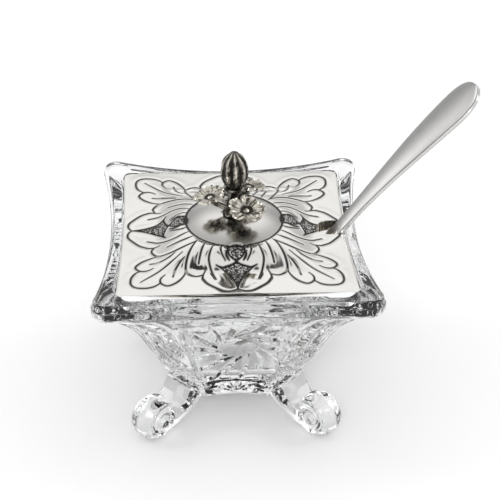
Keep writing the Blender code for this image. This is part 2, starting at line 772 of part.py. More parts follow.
def make_fixing(parts, steel):
    """Build the screw and washer that hold the finial from under the dome."""
    washer_top = dome_top - LID_SHEET - SEAT_GAP
    washer_bottom = washer_top - WASHER_THICKNESS
    washer_profile = (
        (WASHER_RADIUS, washer_top),
        (WASHER_RADIUS, washer_bottom),
        (SCREW_HOLE_RADIUS, washer_bottom),
        (SCREW_HOLE_RADIUS, washer_top),
    )
    washer = turned("finial_washer", washer_profile, parts, closed=True)
    head_top = washer_bottom - SEAT_GAP
    screw_profile = (
        (0, stem_foot + SCREW_BITE),
        (SCREW_RADIUS, stem_foot + SCREW_BITE),
        (SCREW_RADIUS, head_top),
        (SCREW_HEAD_RADIUS, head_top),
        (SCREW_HEAD_RADIUS, head_top - SCREW_HEAD_HEIGHT / 2),
        (SCREW_HEAD_RADIUS - SCREW_HEAD_HEIGHT / 2, head_top - SCREW_HEAD_HEIGHT),
        (0, head_top - SCREW_HEAD_HEIGHT),
    )
    screw = turned("finial_screw", screw_profile, parts)
    for piece in (washer, screw):
        piece.data.materials.append(steel)


def main():
    """Clear the scene and build every piece."""
    for old in list(bpy.data.objects):
        bpy.data.objects.remove(old)
    parts = bpy.data.collections.new("honey_dish")
    helpers = bpy.data.collections.new("helpers")
    bpy.context.scene.collection.children.link(parts)
    bpy.context.scene.collection.children.link(helpers)
    glass = make_material("clear_glass", (0.97, 0.98, 0.98), 0.0, 0.03, 1.0)
    silver = make_material("polished_silver", (0.9, 0.89, 0.87), 1.0, 0.14)
    spoon_silver = make_material("spoon_silver", (0.9, 0.89, 0.87), 1.0, 0.2)
    dark_silver = make_material("oxidised_silver", (0.5, 0.48, 0.44), 1.0, 0.3)
    steel = make_material("steel", (0.6, 0.6, 0.6), 1.0, 0.3)
    make_dish(parts, helpers, glass)
    make_lid(parts, helpers, silver)
    make_spoon(parts, spoon_silver)
    make_stem(parts, helpers, dark_silver)
    for name, angle, size_share, lift_share in FLOWER_PLACES:
        make_flower(name, angle, size_share, lift_share, parts, helpers, dark_silver)
    make_bud(parts, dark_silver)
    make_fixing(parts, steel)


main()
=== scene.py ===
"""Looks of a square cut-glass honey dish with a chased silver lid, a flower finial and a silver spoon.

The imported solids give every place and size. Each visible piece is a dense mesh that a function maps
from a flat grid, so that the cut ornament of the glass and the chased lines of the lid are real
relief, and every piece has a procedural material. Lengths inside the builders are millimetres.
"""

import logging
import math
from dataclasses import dataclass
from enum import Enum
from typing import Callable, Sequence

import bmesh
import bpy
import numpy as np
from mathutils import Matrix, Vector


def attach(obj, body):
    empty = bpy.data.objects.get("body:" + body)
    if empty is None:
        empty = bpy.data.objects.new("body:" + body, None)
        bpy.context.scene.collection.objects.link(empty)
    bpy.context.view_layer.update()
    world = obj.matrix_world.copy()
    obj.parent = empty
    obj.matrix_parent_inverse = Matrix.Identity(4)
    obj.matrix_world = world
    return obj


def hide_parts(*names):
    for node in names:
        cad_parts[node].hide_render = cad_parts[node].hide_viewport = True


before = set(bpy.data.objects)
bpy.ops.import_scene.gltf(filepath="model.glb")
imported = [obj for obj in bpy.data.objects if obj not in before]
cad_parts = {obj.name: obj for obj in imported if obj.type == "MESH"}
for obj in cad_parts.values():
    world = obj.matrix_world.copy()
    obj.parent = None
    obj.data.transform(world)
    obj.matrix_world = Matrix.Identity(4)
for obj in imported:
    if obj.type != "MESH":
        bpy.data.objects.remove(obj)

logging.basicConfig(level=logging.INFO, format="%(message)s")
LOG = logging.getLogger("honey_dish")

MM = 0.001
QUARTER = math.pi / 2
Points = np.ndarray
Field = np.ndarray
Mapped = tuple[Points, dict[str, Field]]
Mapping = Callable[[Field, Field], Mapped]
Colour = tuple[float, float, float, float]


# Curves and fields -----------------------------------------------------------


def smooth_step(low: float, high: float, value: Field) -> Field:
    """Return an eased ramp from 0 at low to 1 at high.

    Args:
        low: Where the ramp starts.
        high: Where it ends; it may lie below low.
        value: The values to ease.

    Returns:
        Values between 0 and 1.
    """
    share = np.clip((value - low) / (high - low), 0, 1)
    return share * share * (3 - 2 * share)


def smooth_curve(points: Sequence[Sequence[float]], samples: int) -> Points:
    """Return a curve through the points.

    Args:
        points: The points that the curve goes through, of any dimension.
        samples: How many places to return.

    Returns:
        The places, evenly spread over the spans between the points.
    """
    knots = np.asarray(points, float)
    padded = np.vstack([2 * knots[0] - knots[1], knots, 2 * knots[-1] - knots[-2]])
    place = np.linspace(0, len(knots) - 1, samples)
    span = np.minimum(place.astype(int), len(knots) - 2)
    t = (place - span)[:, None]
    a, b, c, d = (padded[span + i] for i in range(4))
    return 0.5 * (2 * b + (c - a) * t + (2 * a - 5 * b + 4 * c - d) * t**2 + (3 * b - a - 3 * c + d) * t**3)


def nearest(points: Points, line: Points) -> tuple[Field, Field]:
    """Return the distance from each point to a line, and how far along the line the nearest place is.

    Args:
        points: Places in the plane, shape (n, 2).
        line: The corners of an open line, shape (m, 2).

    Returns:
        The distances, and the shares along the line from 0 to 1.
    """
    best = np.full(len(points), 1e9)
    share = np.zeros(len(points))
    for index, (start, end) in enumerate(zip(line, line[1:])):
        run = end - start
        t = np.clip((points - start) @ run / max(run @ run, 1e-12), 0, 1)
        distance = np.hypot(*(points - start - t[:, None] * run).T)
        closer = distance < best
        best[closer] = distance[closer]
        share[closer] = (index + t[closer]) / (len(line) - 1)
    return best, share


def inside(points: Points, outline: Points) -> Field:
    """Return which points lie inside a closed outline.

    Args:
        points: Places in the plane, shape (n, 2).
        outline: The corners of the outline, shape (m, 2).

    Returns:
        True for each point inside.
    """
    found = np.zeros(len(points), bool)
    x, y = points.T
    for (ax, ay), (bx, by) in zip(outline, np.roll(outline, -1, axis=0)):
        crosses = (ay > y) != (by > y)
        height = by - ay if by != ay else 1e-9
        found ^= crosses & (x < (bx - ax) * (y - ay) / height + ax)
    return found


def bell(offset: Field, width: float | Field) -> Field:
    """Return 1 where the offset is nothing, falling towards 0 past the width."""
    return np.exp(-((offset / width) ** 2))


def read_along(profile: Points, share: Field) -> tuple[Field, ...]:
    """Return each column of a profile, read at shares of its length.

    Args:
        profile: Rows of values, shape (m, k).
        share: Where to read, from 0 to 1.

    Returns:
        One field for each column.
    """
    index = np.arange(len(profile))
    return tuple(np.interp(share * (len(profile) - 1), index, column) for column in profile.T)


def turned(reach: Field, angle: Field, height: Field) -> Points:
    """Return the places at a reach and an angle round the Z axis."""
    return np.stack([reach * np.cos(angle), reach * np.sin(angle), height], 1)


def blackening_and_painted_shade_values(blackening_and_painted_shade: Field) -> dict[str, Field]:
    """Return the vertex values of a silver piece that has no stipple: its blackening, which on the spoon and
    the petals also holds painted shade.
    """
    return {"blackening_and_painted_shade": blackening_and_painted_shade, "stipple": np.zeros_like(blackening_and_painted_shade)}


# Meshes ----------------------------------------------------------------------


def add_object(name: str, data: bpy.types.ID) -> bpy.types.Object:
    """Return a new object of the data, linked to the scene."""
    made = bpy.data.objects.new(name, data)
    bpy.context.scene.collection.objects.link(made)
    return made


def fill(mesh: bpy.types.Mesh, data: bmesh.types.BMesh, outwards: bool = True) -> None:
    """Write worked faces into a mesh and free them.

    Args:
        mesh: The mesh to fill.
        data: The faces.
        outwards: Whether to turn them outwards first.
    """
    if outwards:
        bmesh.ops.recalc_face_normals(data, faces=data.faces)
    data.to_mesh(mesh)
    data.free()


@dataclass
class Surface:
    """A grid of columns and rows that a function maps into space.

    Attributes:
        name: The name of the piece.
        columns: Faces across.
        rows: Faces along.
        place: Takes the grid's u and v, each from 0 to 1, and returns the places in millimetres
            and named values for the vertices.
        wrap: Whether the first and last columns meet.
    """

    name: str
    columns: int
    rows: int
    place: Mapping
    wrap: bool = True

    def build(self) -> bpy.types.Object:
        """Make the object.

        Returns:
            The new object, linked to the scene, with smooth faces.
        """
        grid = bmesh.new()
        bmesh.ops.create_grid(grid, x_segments=self.columns, y_segments=self.rows, size=0.5)
        mesh = bpy.data.meshes.new(self.name)
        fill(mesh, grid, outwards=False)
        flat = np.empty(len(mesh.vertices) * 3)
        mesh.vertices.foreach_get("co", flat)
        flat = flat.reshape(-1, 3)
        places, values = self.place(flat[:, 0] + 0.5, flat[:, 1] + 0.5)
        mesh.vertices.foreach_set("co", (places * MM).ravel())
        for key, value in values.items():
            layer = mesh.attributes.new(key, "FLOAT", "POINT")
            layer.data.foreach_set("value", value.astype(np.float32))
        weld(mesh, self.wrap)
        mesh.shade_smooth()
        LOG.info("%s: %d faces", self.name, len(mesh.polygons))
        return add_object(self.name, mesh)


def weld(mesh: bpy.types.Mesh, close: bool = True) -> None:
    """Join vertices that lie on each other and turn the faces outwards.

    Args:
        mesh: The mesh to clean.
        close: Whether to weld at all; the faces are turned either way.
    """
    data = bmesh.new()
    data.from_mesh(mesh)
    if close:
        bmesh.ops.remove_doubles(data, verts=data.verts, dist=0.004 * MM)
        bmesh.ops.dissolve_degenerate(data, edges=data.edges, dist=0.002 * MM)
    fill(mesh, data)


def close_poles(piece: bpy.types.Object) -> None:
    """Fill the small open rings that a wrapped grid leaves at its ends.

    Args:
        piece: The object.
    """
    data = bmesh.new()
    data.from_mesh(piece.data)
    bmesh.ops.holes_fill(data, edges=[edge for edge in data.edges if edge.is_boundary], sides=0)
    fill(piece.data, data)


def merge(pieces: Sequence[bpy.types.Object]) -> None:
    """Put the meshes of several objects into the first and remove the others.

    Args:
        pieces: The objects, all at the origin.
    """
    data = bmesh.new()
    for piece in pieces:
        data.from_mesh(piece.data)
    fill(pieces[0].data, data, outwards=False)
    for piece in pieces[1:]:
        bpy.data.objects.remove(piece)


def apply_modifiers(piece: bpy.types.Object) -> None:
    """Bake the modifiers of an object into its mesh.

    Args:
        piece: The object.
    """
    bpy.context.view_layer.update()
    graph = bpy.context.evaluated_depsgraph_get()
    mesh = bpy.data.meshes.new_from_object(piece.evaluated_get(graph))
    piece.modifiers.clear()
    piece.data = mesh


def thicken(piece: bpy.types.Object, thickness: float) -> None:
    """Give a sheet its thickness, on its inner side.

    Args:
        piece: The sheet.
        thickness: The thickness in millimetres.
    """
    sheet = piece.modifiers.new("sheet", "SOLIDIFY")
    sheet.thickness = thickness * MM
    sheet.offset = -1
    apply_modifiers(piece)


def join_solids(target: bpy.types.Object, other: bpy.types.Object) -> None:
    """Add another closed object to the target and remove the other.

    Args:
        target: The object that grows.
        other: The object that goes into it.
    """
    union = target.modifiers.new("union", "BOOLEAN")
    union.operation = "UNION"
    union.solver = "EXACT"
    union.object = other
    apply_modifiers(target)
    bpy.data.objects.remove(other)


def sharpen(piece: bpy.types.Object, degrees: float) -> None:
    """Mark edges over an angle as sharp.

    Args:
        piece: The object.
        degrees: The angle between faces above which an edge shows.
    """
    piece.data.shade_smooth()
    piece.data.set_sharp_from_angle(angle=math.radians(degrees))


# Shader maths ----------------------------------------------------------------


class Wire:
    """An output socket that takes part in arithmetic."""

    def __init__(self, nodes: "Nodes", socket: bpy.types.NodeSocket) -> None:
        self.nodes = nodes
        self.socket = socket

    def math(self, operation: str, *others: "Wire | float") -> "Wire":
        """Return this value combined with others by a Math node.

        Args:
            operation: The node's operation.
            others: The further operands.

        Returns:
            The result.
        """
        inputs = {index: value for index, value in enumerate((self, *others))}
        return self.nodes.add("ShaderNodeMath", inputs, operation=operation)

    def __add__(self, other: "Wire | float") -> "Wire":
        return self.math("ADD", other)

    __radd__ = __add__

    def __mul__(self, other: "Wire | float") -> "Wire":
        return self.math("MULTIPLY", other)

    __rmul__ = __mul__

    def ramp(self, low: float, high: float, start: float = 0.0, end: float = 1.0) -> "Wire":
        """Return the value eased from start at low to end at high.

        Args:
            low: Where the ramp starts.
            high: Where it ends.
            start: The result up to low.
            end: The result from high.

        Returns:
            The eased value.
        """
        inputs = {"Value": self, "From Min": low, "From Max": high, "To Min": start, "To Max": end}
        return self.nodes.add("ShaderNodeMapRange", inputs, interpolation_type="SMOOTHSTEP")


class Nodes:
    """The nodes of one material or world round its shader."""

    def __init__(self, owner: bpy.types.ID, shader: str, coordinates: str) -> None:
        owner.use_nodes = True
        self.owner = owner
        self.tree = owner.node_tree
        self.shader = self.tree.nodes[shader]
        self.coordinates = self.add("ShaderNodeTexCoord", output=coordinates)

    @classmethod
    def of_material(cls, name: str) -> "Nodes":
        """Return the nodes of a new material, on Object coordinates."""
        return cls(bpy.data.materials.new(name), "Principled BSDF", "Object")

    def add(self, kind: str, inputs: dict | None = None, output: str | int = 0,
            stops: Sequence[tuple[float, float]] = (), **settings) -> Wire:
        """Add one node.

        Args:
            kind: The node's type name.
            inputs: Values or wires for its input sockets, by name or number.
            output: The output socket wanted, by name or number.
            stops: A colour ramp's stops, as places and grey tones.
            settings: Attributes of the node.

        Returns:
            The wanted output.
        """
        node = self.tree.nodes.new(kind)
        for key, value in settings.items():
            setattr(node, key, value)
        for position, _ in stops[1:-1]:
            node.color_ramp.elements.new(position)
        for element, (position, tone) in zip(node.color_ramp.elements if stops else (), stops):
            element.position = position
            element.color = (tone, tone, tone, 1.0)
        for key, value in (inputs or {}).items():
            self.set(node.inputs[key], value)
        return Wire(self, node.outputs[output])

    def set(self, socket: bpy.types.NodeSocket, value: "Wire | float | tuple") -> None:
        """Link a wire to a socket, or set its value.

        Args:
            socket: The input socket.
            value: A wire, a number or a tuple.
        """
        if isinstance(value, Wire):
            self.tree.links.new(value.socket, socket)
        else:
            socket.default_value = value

    def finish(self, **inputs: "Wire | float | tuple") -> bpy.types.ID:
        """Set the shader's inputs, with underscores for the spaces in their names.

        Args:
            inputs: The values or wires.

        Returns:
            The material or world.
        """
        for key, value in inputs.items():
            self.set(self.shader.inputs[key.replace("_", " ")], value)
        return self.owner

    def value(self, name: str) -> Wire:
        """Return a named value of the mesh's vertices."""
        return self.add("ShaderNodeAttribute", output="Fac", attribute_name=name)

    def stretched(self, scale: tuple[float, float, float]) -> Wire:
        """Return the object coordinates scaled along each axis."""
        return self.add("ShaderNodeMapping", {"Vector": self.coordinates, "Scale": scale})

    def noise(self, scale: float, detail: float = 3.0, vector: Wire | None = None) -> Wire:
        """Return noise around 0.5 with the given number of waves a metre."""
        inputs = {"Vector": vector or self.coordinates, "Scale": scale, "Detail": detail}
        return self.add("ShaderNodeTexNoise", inputs)

    def cells(self, scale: float) -> Wire:
        """Return the distance to the nearest of scattered cell centres."""
        inputs = {"Vector": self.coordinates, "Scale": scale, "Randomness": 0.75}
        return self.add("ShaderNodeTexVoronoi", inputs, output="Distance")

    def mix(self, share: Wire, first: "Wire | tuple", second: "Wire | tuple") -> Wire:
        """Return a colour between two by a share."""
        return self.add("ShaderNodeMix", {0: share, 6: first, 7: second}, output=2, data_type="RGBA")

    def bump(self, height: Wire, distance: float, strength: float = 1.0, normal: Wire | None = None) -> Wire:
        """Return a normal tilted by a height given in the unit of distance, in metres."""
        inputs = {"Height": height, "Distance": distance, "Strength": strength}
        if normal:
            inputs["Normal"] = normal
        return self.add("ShaderNodeBump", inputs, output="Normal")


@dataclass(frozen=True)
class Silver:
    """A silver finish with blackening in its hollows and, on some pieces, painted shade.

    Attributes:
        bright: The colour of the polished metal.
        dark: The colour of the blackening and of the painted shade.
        roughness: The roughness of the polish.
        wear: How much fine scratches show.
        mask: The name of the vertex value that says where the metal is black, from blackening and from
            painted shade.
        grime: How much blackening is left on it in patches.
    """

    bright: Colour
    dark: Colour
    roughness: float
    wear: float
    mask: str | None = None
    grime: float = 0.0

    def material(self, name: str) -> bpy.types.Material:
        """Build the material.

        Args:
            name: The material's name.

        Returns:
            The material.
        """
        nodes = Nodes.of_material(name)
        patches = nodes.noise(55.0, 4.0)
        scratches = nodes.noise(900.0, 2.0, nodes.stretched((1.0, 0.08, 0.4)))
        rough = patches.ramp(0.35, 0.75, self.roughness * 0.7, self.roughness * 1.5)
        rough = rough + scratches.ramp(0.5, 0.8, 0.0, self.wear)
        normal = nodes.bump(scratches, 0.16 * MM * self.wear)
        duller = (*(0.96 * channel for channel in self.bright[:3]), 1.0)
        colour = nodes.mix(patches.ramp(0.3, 0.8), self.bright, duller)
        if not self.mask:
            return nodes.finish(Base_Color=colour, Metallic=1.0, Roughness=rough, Normal=normal)
        # The mask's value holds blackening in the hollows, and painted shade and painted reflection on the
        # dome, the petals and the spoon.
        blackening_and_painted_shade = nodes.value(self.mask)
        stipple = nodes.value("stipple")
        pits = stipple * nodes.cells(1300.0).ramp(0.2, 0.6)
        patina = nodes.noise(380.0, 3.0).ramp(0.4, 0.66, 0.0, self.grime)
        black = (blackening_and_painted_shade + pits * 0.75 + stipple * 0.22 + patina).math("MINIMUM", 1.0)
        normal = nodes.bump(pits, 0.12 * MM, 0.8, normal)
        return nodes.finish(
            Base_Color=nodes.mix(black, colour, self.dark),
            Metallic=black.ramp(0.4, 1.0, 1.0, 0.6),
            Roughness=rough + black * 0.3,
            Normal=normal,
        )


@dataclass(frozen=True)
class Crystal:
    """Clear lead glass with a faint waviness of the pressing.

    Attributes:
        colour: The tint of the glass.
        ior: Its index of refraction.
        waviness: The depth of the waves in metres.
    """

    colour: Colour
    ior: float
    waviness: float

    def material(self, name: str) -> bpy.types.Material:
        """Build the material.

        Args:
            name: The material's name.

        Returns:
            The material.
        """
        nodes = Nodes.of_material(name)
        waves = nodes.noise(120.0, 2.0)
        normal = nodes.bump(waves, self.waviness)
        nails = nodes.value("stipple") * nodes.cells(620.0).ramp(0.1, 0.6, 1.0, 0.0)
        normal = nodes.bump(nails, 0.25 * MM, 0.9, normal)
        rough = nodes.noise(40.0).ramp(0.4, 0.8, 0.0, 0.03)
        return nodes.finish(
            Base_Color=self.colour, Metallic=0.0, Roughness=rough, IOR=self.ior,
            Transmission_Weight=1.0, Normal=normal,
        )


class Finish(Enum):
    """The finishes of the object's pieces."""

    CRYSTAL = Crystal((0.985, 0.99, 0.99, 1.0), 1.5, 0.12 * MM)
    # Its dark colour serves the blackening of the chased lines and the painted reflection on the dome.
    CHASED = Silver((0.8, 0.787, 0.76, 1.0), (0.01, 0.009, 0.008, 1.0), 0.1, 0.03, "blackening_and_painted_shade")
    # A darker copy of the polished silver: its darkness is painted shade on the lid solid's edge, skirt and
    # notch walls.
    PAINTED_SHADE_SILVER = Silver((0.34, 0.31, 0.27, 1.0), (0.1, 0.1, 0.1, 1.0), 0.22, 0.08)
    # Its dark colour serves the blackening of the finial's hollows, and on the petals partly painted shade.
    CAST = Silver((0.68, 0.645, 0.57, 1.0), (0.014, 0.012, 0.008, 1.0), 0.13, 0.05, "blackening_and_painted_shade", 0.6)
    # The spoon's dark colour shows only painted shade and painted reflection.
    PLAIN = Silver((0.92, 0.91, 0.89, 1.0), (0.08, 0.08, 0.08, 1.0), 0.17, 0.04, "blackening_and_painted_shade")
    STEEL = Silver((0.6, 0.6, 0.6, 1.0), (0.1, 0.1, 0.1, 1.0), 0.3, 0.1)

    @property
    def slot(self) -> str:
        """Return the record's material slot."""
        return SLOTS[self]

    def paint(self, piece: bpy.types.Object) -> None:
        """Give a piece this finish, in every slot that it has.

        Args:
            piece: The object.
        """
        name = f"{self.name.lower()}_finish"
        material = bpy.data.materials.get(name) or self.value.material(name)
        piece.data.materials.clear()
        piece.data.materials.append(material)


SLOTS = {
    Finish.CRYSTAL: "clear_glass",
    Finish.CHASED: "polished_silver",
    Finish.PAINTED_SHADE_SILVER: "polished_silver",
    Finish.CAST: "oxidised_silver",
    Finish.PLAIN: "spoon_silver",
    Finish.STEEL: "steel",
}


def install(piece: bpy.types.Object, body: str, finish: Finish, *nodes: str) -> bpy.types.Object:
    """Paint a piece, tie it to its body and let it stand for solids.

    Args:
        piece: The finished object, at the origin.
        body: The body that it moves with.
        finish: Its finish.
        nodes: The solids that it replaces.

    Returns:
        The piece.
    """
    finish.paint(piece)
    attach(piece, body)
    if nodes:
        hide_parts(*nodes)
    LOG.info("%s rides on %s for %s", piece.name, body, nodes or "no solid")
    return piece


# The square plan that rim, bowl and lid share --------------------------------

CORNER_COLUMNS = 0.32
CORNER_ZONE = 0.4


def square_plan(u: Field, half: Field, side_half: Field, radius: Field, chamfer: Field) -> dict[str, Field]:
    """Return places round a square whose sides draw in at their middles.

    Args:
        u: Places round the square from 0 to 1, 0 being the middle of the +X side.
        half: Half the span at the corners.
        side_half: Half the span at the middles of the sides.
        radius: The corners' radius.
        chamfer: 0 for round corners to 1 for flat ones.

    Returns:
        x and y; the outward normal nx and ny; along, the signed distance from the side's middle;
        share, 0 at a side's middle and 1 from the corner's start; and across, the place across the
        nearest corner zone, from -1 through 0 on the diagonal to 1.
    """
    turn = u * 4 + 0.5
    side = np.floor(turn)
    local = (turn - side) * 2 - 1
    sign = np.sign(local) + (local == 0)
    reach = np.abs(local)
    centre = half - radius
    lean = np.zeros_like(u)
    for _ in range(8):
        run = centre - radius * np.sin(lean)
        lean = np.arctan2(2 * (centre + radius * np.cos(lean) - side_half), run)
    start_x = centre + radius * np.cos(lean)
    start_y = centre - radius * np.sin(lean)
    share = np.minimum(reach / (1 - CORNER_COLUMNS), 1)
    on_arc = np.maximum(reach - (1 - CORNER_COLUMNS), 0) / CORNER_COLUMNS
    angle = -lean + (math.pi / 4 + lean) * on_arc
    arc_x = centre + radius * np.cos(angle)
    arc_y = centre + radius * np.sin(angle)
    drop = (arc_x + arc_y - start_x - start_y) / 2 * chamfer
    is_arc = reach > 1 - CORNER_COLUMNS
    x = np.where(is_arc, arc_x - drop, side_half + (start_x - side_half) * share**2)
    y = np.where(is_arc, arc_y - drop, start_y * share) * sign
    tilt = np.where(is_arc, angle + (math.pi / 4 - angle) * chamfer, -lean * share) * sign
    spin = side * QUARTER
    return {
        "x": x * np.cos(spin) - y * np.sin(spin),
        "y": x * np.sin(spin) + y * np.cos(spin),
        "nx": np.cos(tilt + spin),
        "ny": np.sin(tilt + spin),
        "along": y,
        "share": share,
        "across": (1 - np.clip((reach - (1 - CORNER_ZONE)) / CORNER_ZONE, 0, 1)) * sign,
    }


# Glass dish ------------------------------------------------------------------


@dataclass
class Dish:
    """The glass dish: flaring square bowl with cut ornament, thick rim and four scroll feet.

    The lid's seat and the bowl's mouth are each half, side half and corner radius.
    """

    rim_half: float = 50.0
    rim_hollow: float = 4.5
    rim_corner: float = 5.0
    rim_height: float = 60.0
    rim_dip: float = 2.6
    band: float = 7.2
    band_round: float = 1.6
    base_half: float = 27.4
    base_hollow: float = 2.2
    base_round: float = 2.4
    base_corner: float = 12.5
    wall: float = 4.8
    floor: float = 6.0
    seat: tuple[float, float, float] = (42.5, 41.2, 4.05)
    seat_top: float = 57.1
    seat_dip: float = 0.4
    mouth: tuple[float, float, float] = (41.1, 39.8, 4.0)
    mouth_foot: float = 53.7
    bowl_round: float = 8.0
    foot_drop: float = 12.0
    foot_half: float = 8.6
    scroll_radius: float = 8.2
    scroll_half: float = 7.0
    scroll_reach: float = 43.8
    panel_middle: float = 25.5
    panel_stretch: float = 1.2
    leaves: int = 14
    leaf_start: float = 5.3
    leaf_turn: float = math.radians(56)
    leaf_depth: float = 1.15
    eye_radius: float = 5.0
    eye_depth: float = 1.2
    flute_depth: float = 0.95
    nail_pitch: float = 0.95
    columns: int = 480

    def outer(self, share: Field) -> tuple[Field, Field, Field, Field]:
        """Return half, side half, corner radius and chamfer of the bowl's outside.

        Args:
            share: Heights from 0 at the base to 1 under the rim band.

        Returns:
            The four sizes at those heights.
        """
        flare = smooth_curve(
            [(0, 0), (0.14, 0.035), (0.32, 0.105), (0.48, 0.21), (0.62, 0.33), (0.74, 0.467),
             (0.84, 0.62), (0.92, 0.78), (0.97, 0.91), (1.0, 1.0)],
            200,
        )
        reach = np.interp(share, flare[:, 0], flare[:, 1])
        half = self.base_half + (self.rim_half - self.band_round - self.base_half) * reach
        hollow = self.base_hollow + (self.rim_hollow - self.base_hollow) * share
        taper = smooth_step(0, 0.6, share)
        radius = self.base_corner + (self.rim_corner - self.band_round - self.base_corner) * taper
        return half, half - hollow, radius, 1 - smooth_step(0, 0.35, share)

    def rows(self) -> Points:
        """Return half, side half, radius, height, dip, chamfer and ornament share of every row."""
        table: list[tuple[float, ...]] = []

        def ring(plan: Sequence[float], inset: float, height: float, *rest: float, spare: float = 0) -> None:
            """Add a row of a plan drawn in by an inset, its radius less so by the spare.

            Dip, chamfer and ornament share follow the height, and are 0 where they are left out.
            """
            half, side, radius = plan
            shape = (half - inset, side - inset, radius - inset + spare)
            table.append((*shape, height, *rest, *(0,) * (3 - len(rest))))

        band_foot = self.rim_height - self.band
        *base, chamfer = (float(size) for size in self.outer(np.array(0.0)))
        for share in (0.02, 0.3, 0.6, 0.85):
            ring([(size - self.base_round) * share for size in base], 0, 0, 0, chamfer)
        for step in range(7):
            angle = QUARTER * step / 6
            inset = self.base_round * (1 - math.sin(angle))
            ring(base, inset, self.base_round * (1 - math.cos(angle)), 0, chamfer)
        shares = np.linspace(0, 1, 112)[1:]
        dips = self.rim_dip * smooth_step(0.5, 1.0, shares)
        for share, dip, *plan, chamfer in zip(shares, dips, *self.outer(shares)):
            ring(plan, 0, self.base_round + (band_foot - self.base_round) * share, dip, chamfer, 1)
        outside = smooth_curve(
            [(0.02, 0.8), (0.06, 0.6), (0.18, 0.2), (0.36, 0.02), (0.56, 0.0), (0.6, 0.02)], 14
        )
        bevel = (
            (0.615, 0.16), (0.64, 0.2), (0.78, 0.34), (0.92, 0.5), (0.96, 0.6), (0.985, 0.78), (1.0, 1.05)
        )
        rim = (self.rim_half, self.rim_half - self.rim_hollow, self.rim_corner)
        for rise, inset_share in (*outside.tolist(), *bevel):
            ring(rim, self.band_round * inset_share, band_foot + self.band * rise, self.rim_dip)
        ring(self.seat, -0.35, self.rim_height, self.rim_dip, spare=-0.05)
        ring(self.seat, -0.1, self.rim_height - 0.12, self.rim_dip)
        ring(self.seat, 0, self.rim_height - 0.4, self.rim_dip)
        ring(self.seat, 0, self.seat_top + 0.05, self.seat_dip)
        ring(self.seat, 0.1, self.seat_top, self.seat_dip, spare=0.1)
        ring(self.mouth, -0.1, self.seat_top, self.seat_dip)
        ring(self.mouth, 0, self.seat_top - 0.15, self.seat_dip)
        ring(self.mouth, 0, self.mouth_foot)
        inner = [(*self.mouth, self.mouth_foot, 0)]
        for share in (0.93, 0.84, 0.74, 0.62, 0.48, 0.36, 0.24):
            side = float(self.outer(np.array(share))[1]) - self.wall
            height = self.base_round + (band_foot - self.base_round) * share
            inner.append((side, side, self.bowl_round, height, 0))
        table += [(*row, 0, 0) for row in smooth_curve(inner, 40)[1:].tolist()]
        top_side, start = inner[-1][0], inner[-1][3]
        for step in range(1, 9):
            angle = QUARTER * step / 8
            side = top_side - self.bowl_round * (1 - math.cos(angle))
            height = self.floor + (start - self.floor) * (1 - math.sin(angle))
            ring((side, side, min(self.bowl_round, side / 2)), 0, height)
        floor_plan = table[-1][:3]
        for share in (0.7, 0.35, 0.02):
            ring([size * share for size in floor_plan], 0, self.floor)
        return np.array(table)

    @staticmethod
    def leaf(
        x: Field, z: Field, base: tuple[float, float], angle: float, length: float, width: float
    ) -> Field:
        """Return the share of full depth of one lens-shaped cut.

        Args:
            x: Places across the panel.
            z: Places up the panel.
            base: Where the cut starts.
            angle: The way it runs.
            length: Its length.
            width: Half its greatest width.

        Returns:
            0 outside the cut to 1 along its middle.
        """
        dx, dz = x - base[0], z - base[1]
        along = (dx * math.cos(angle) + dz * math.sin(angle)) / length
        across = -dx * math.sin(angle) + dz * math.cos(angle)
        half = width * np.sin(math.pi * np.clip(along, 0, 1)) ** 0.75
        return np.where(half > 1e-6, np.clip(1 - np.abs(across) / np.maximum(half, 1e-6), 0, 1), 0)

    def panel(self, x: Field, z: Field) -> Field:
        """Return how deep the pinwheel panel is cut.

        Args:
            x: Places across the side.
            z: Heights.

        Returns:
            Depths in millimetres.
        """
        half = np.interp(z, [4, 9, 37, 41], [11.5, 13.5, 20.5, 21.5])
        px, pz = x / self.panel_stretch, z - self.panel_middle
        cut = np.zeros_like(x)
        for index in range(self.leaves):
            start = 2 * math.pi * index / self.leaves + 0.1
            base = (self.leaf_start * math.cos(start), self.leaf_start * math.sin(start))
            length, width, share = (9.5, 2.1, 0.75) if index % 4 == 1 else (14.5, 1.25, 1.0)
            cut = np.maximum(cut, share * self.leaf(px, pz, base, start - self.leaf_turn, length, width))
        radius = np.hypot(px, pz)
        hollow = np.clip(1 - (radius / self.eye_radius) ** 2, 0, 1)
        out = np.abs(x)
        within = smooth_step(0.0, 0.8, half - 1.2 - out)
        within *= smooth_step(8.6, 10.2, z) * smooth_step(41.5, 39.5, z)
        cut *= self.leaf_depth * within * (radius > self.eye_radius - 0.1)
        sides = np.clip(1 - np.abs(out - half) / 0.75, 0, 1) * (z > 7.6) * (z < 42)
        lower = np.clip(1 - np.abs(z - 8.2 + 0.05 * out) / 0.65, 0, 1) * (out < half)
        lowest = np.clip(1 - np.abs(z - 5.9 + 0.05 * out) / 0.5, 0, 1) * (out < half) * (out > 4.5)
        return np.maximum.reduce([cut, hollow * self.eye_depth, sides * 0.8, lower * 0.8, lowest * 0.6])

    def tuft(self, x: Field, z: Field) -> Field:
        """Return how deep the small fans over and under the panel are cut."""
        cut = np.zeros_like(x)
        for base, (first, last, turn), length, width in (
            ((0, 2.4), (18, 163, 24), 4.6, 0.6),
            ((-13.5, 41.2), (8, 173, 20.5), 9.5, 0.85),
            ((13.5, 41.2), (8, 173, 20.5), 9.5, 0.85),
        ):
            for angle in np.radians(np.arange(first, last, turn)):
                cut = np.maximum(cut, self.leaf(x, z, base, float(angle), length, width))
        return cut * 0.7

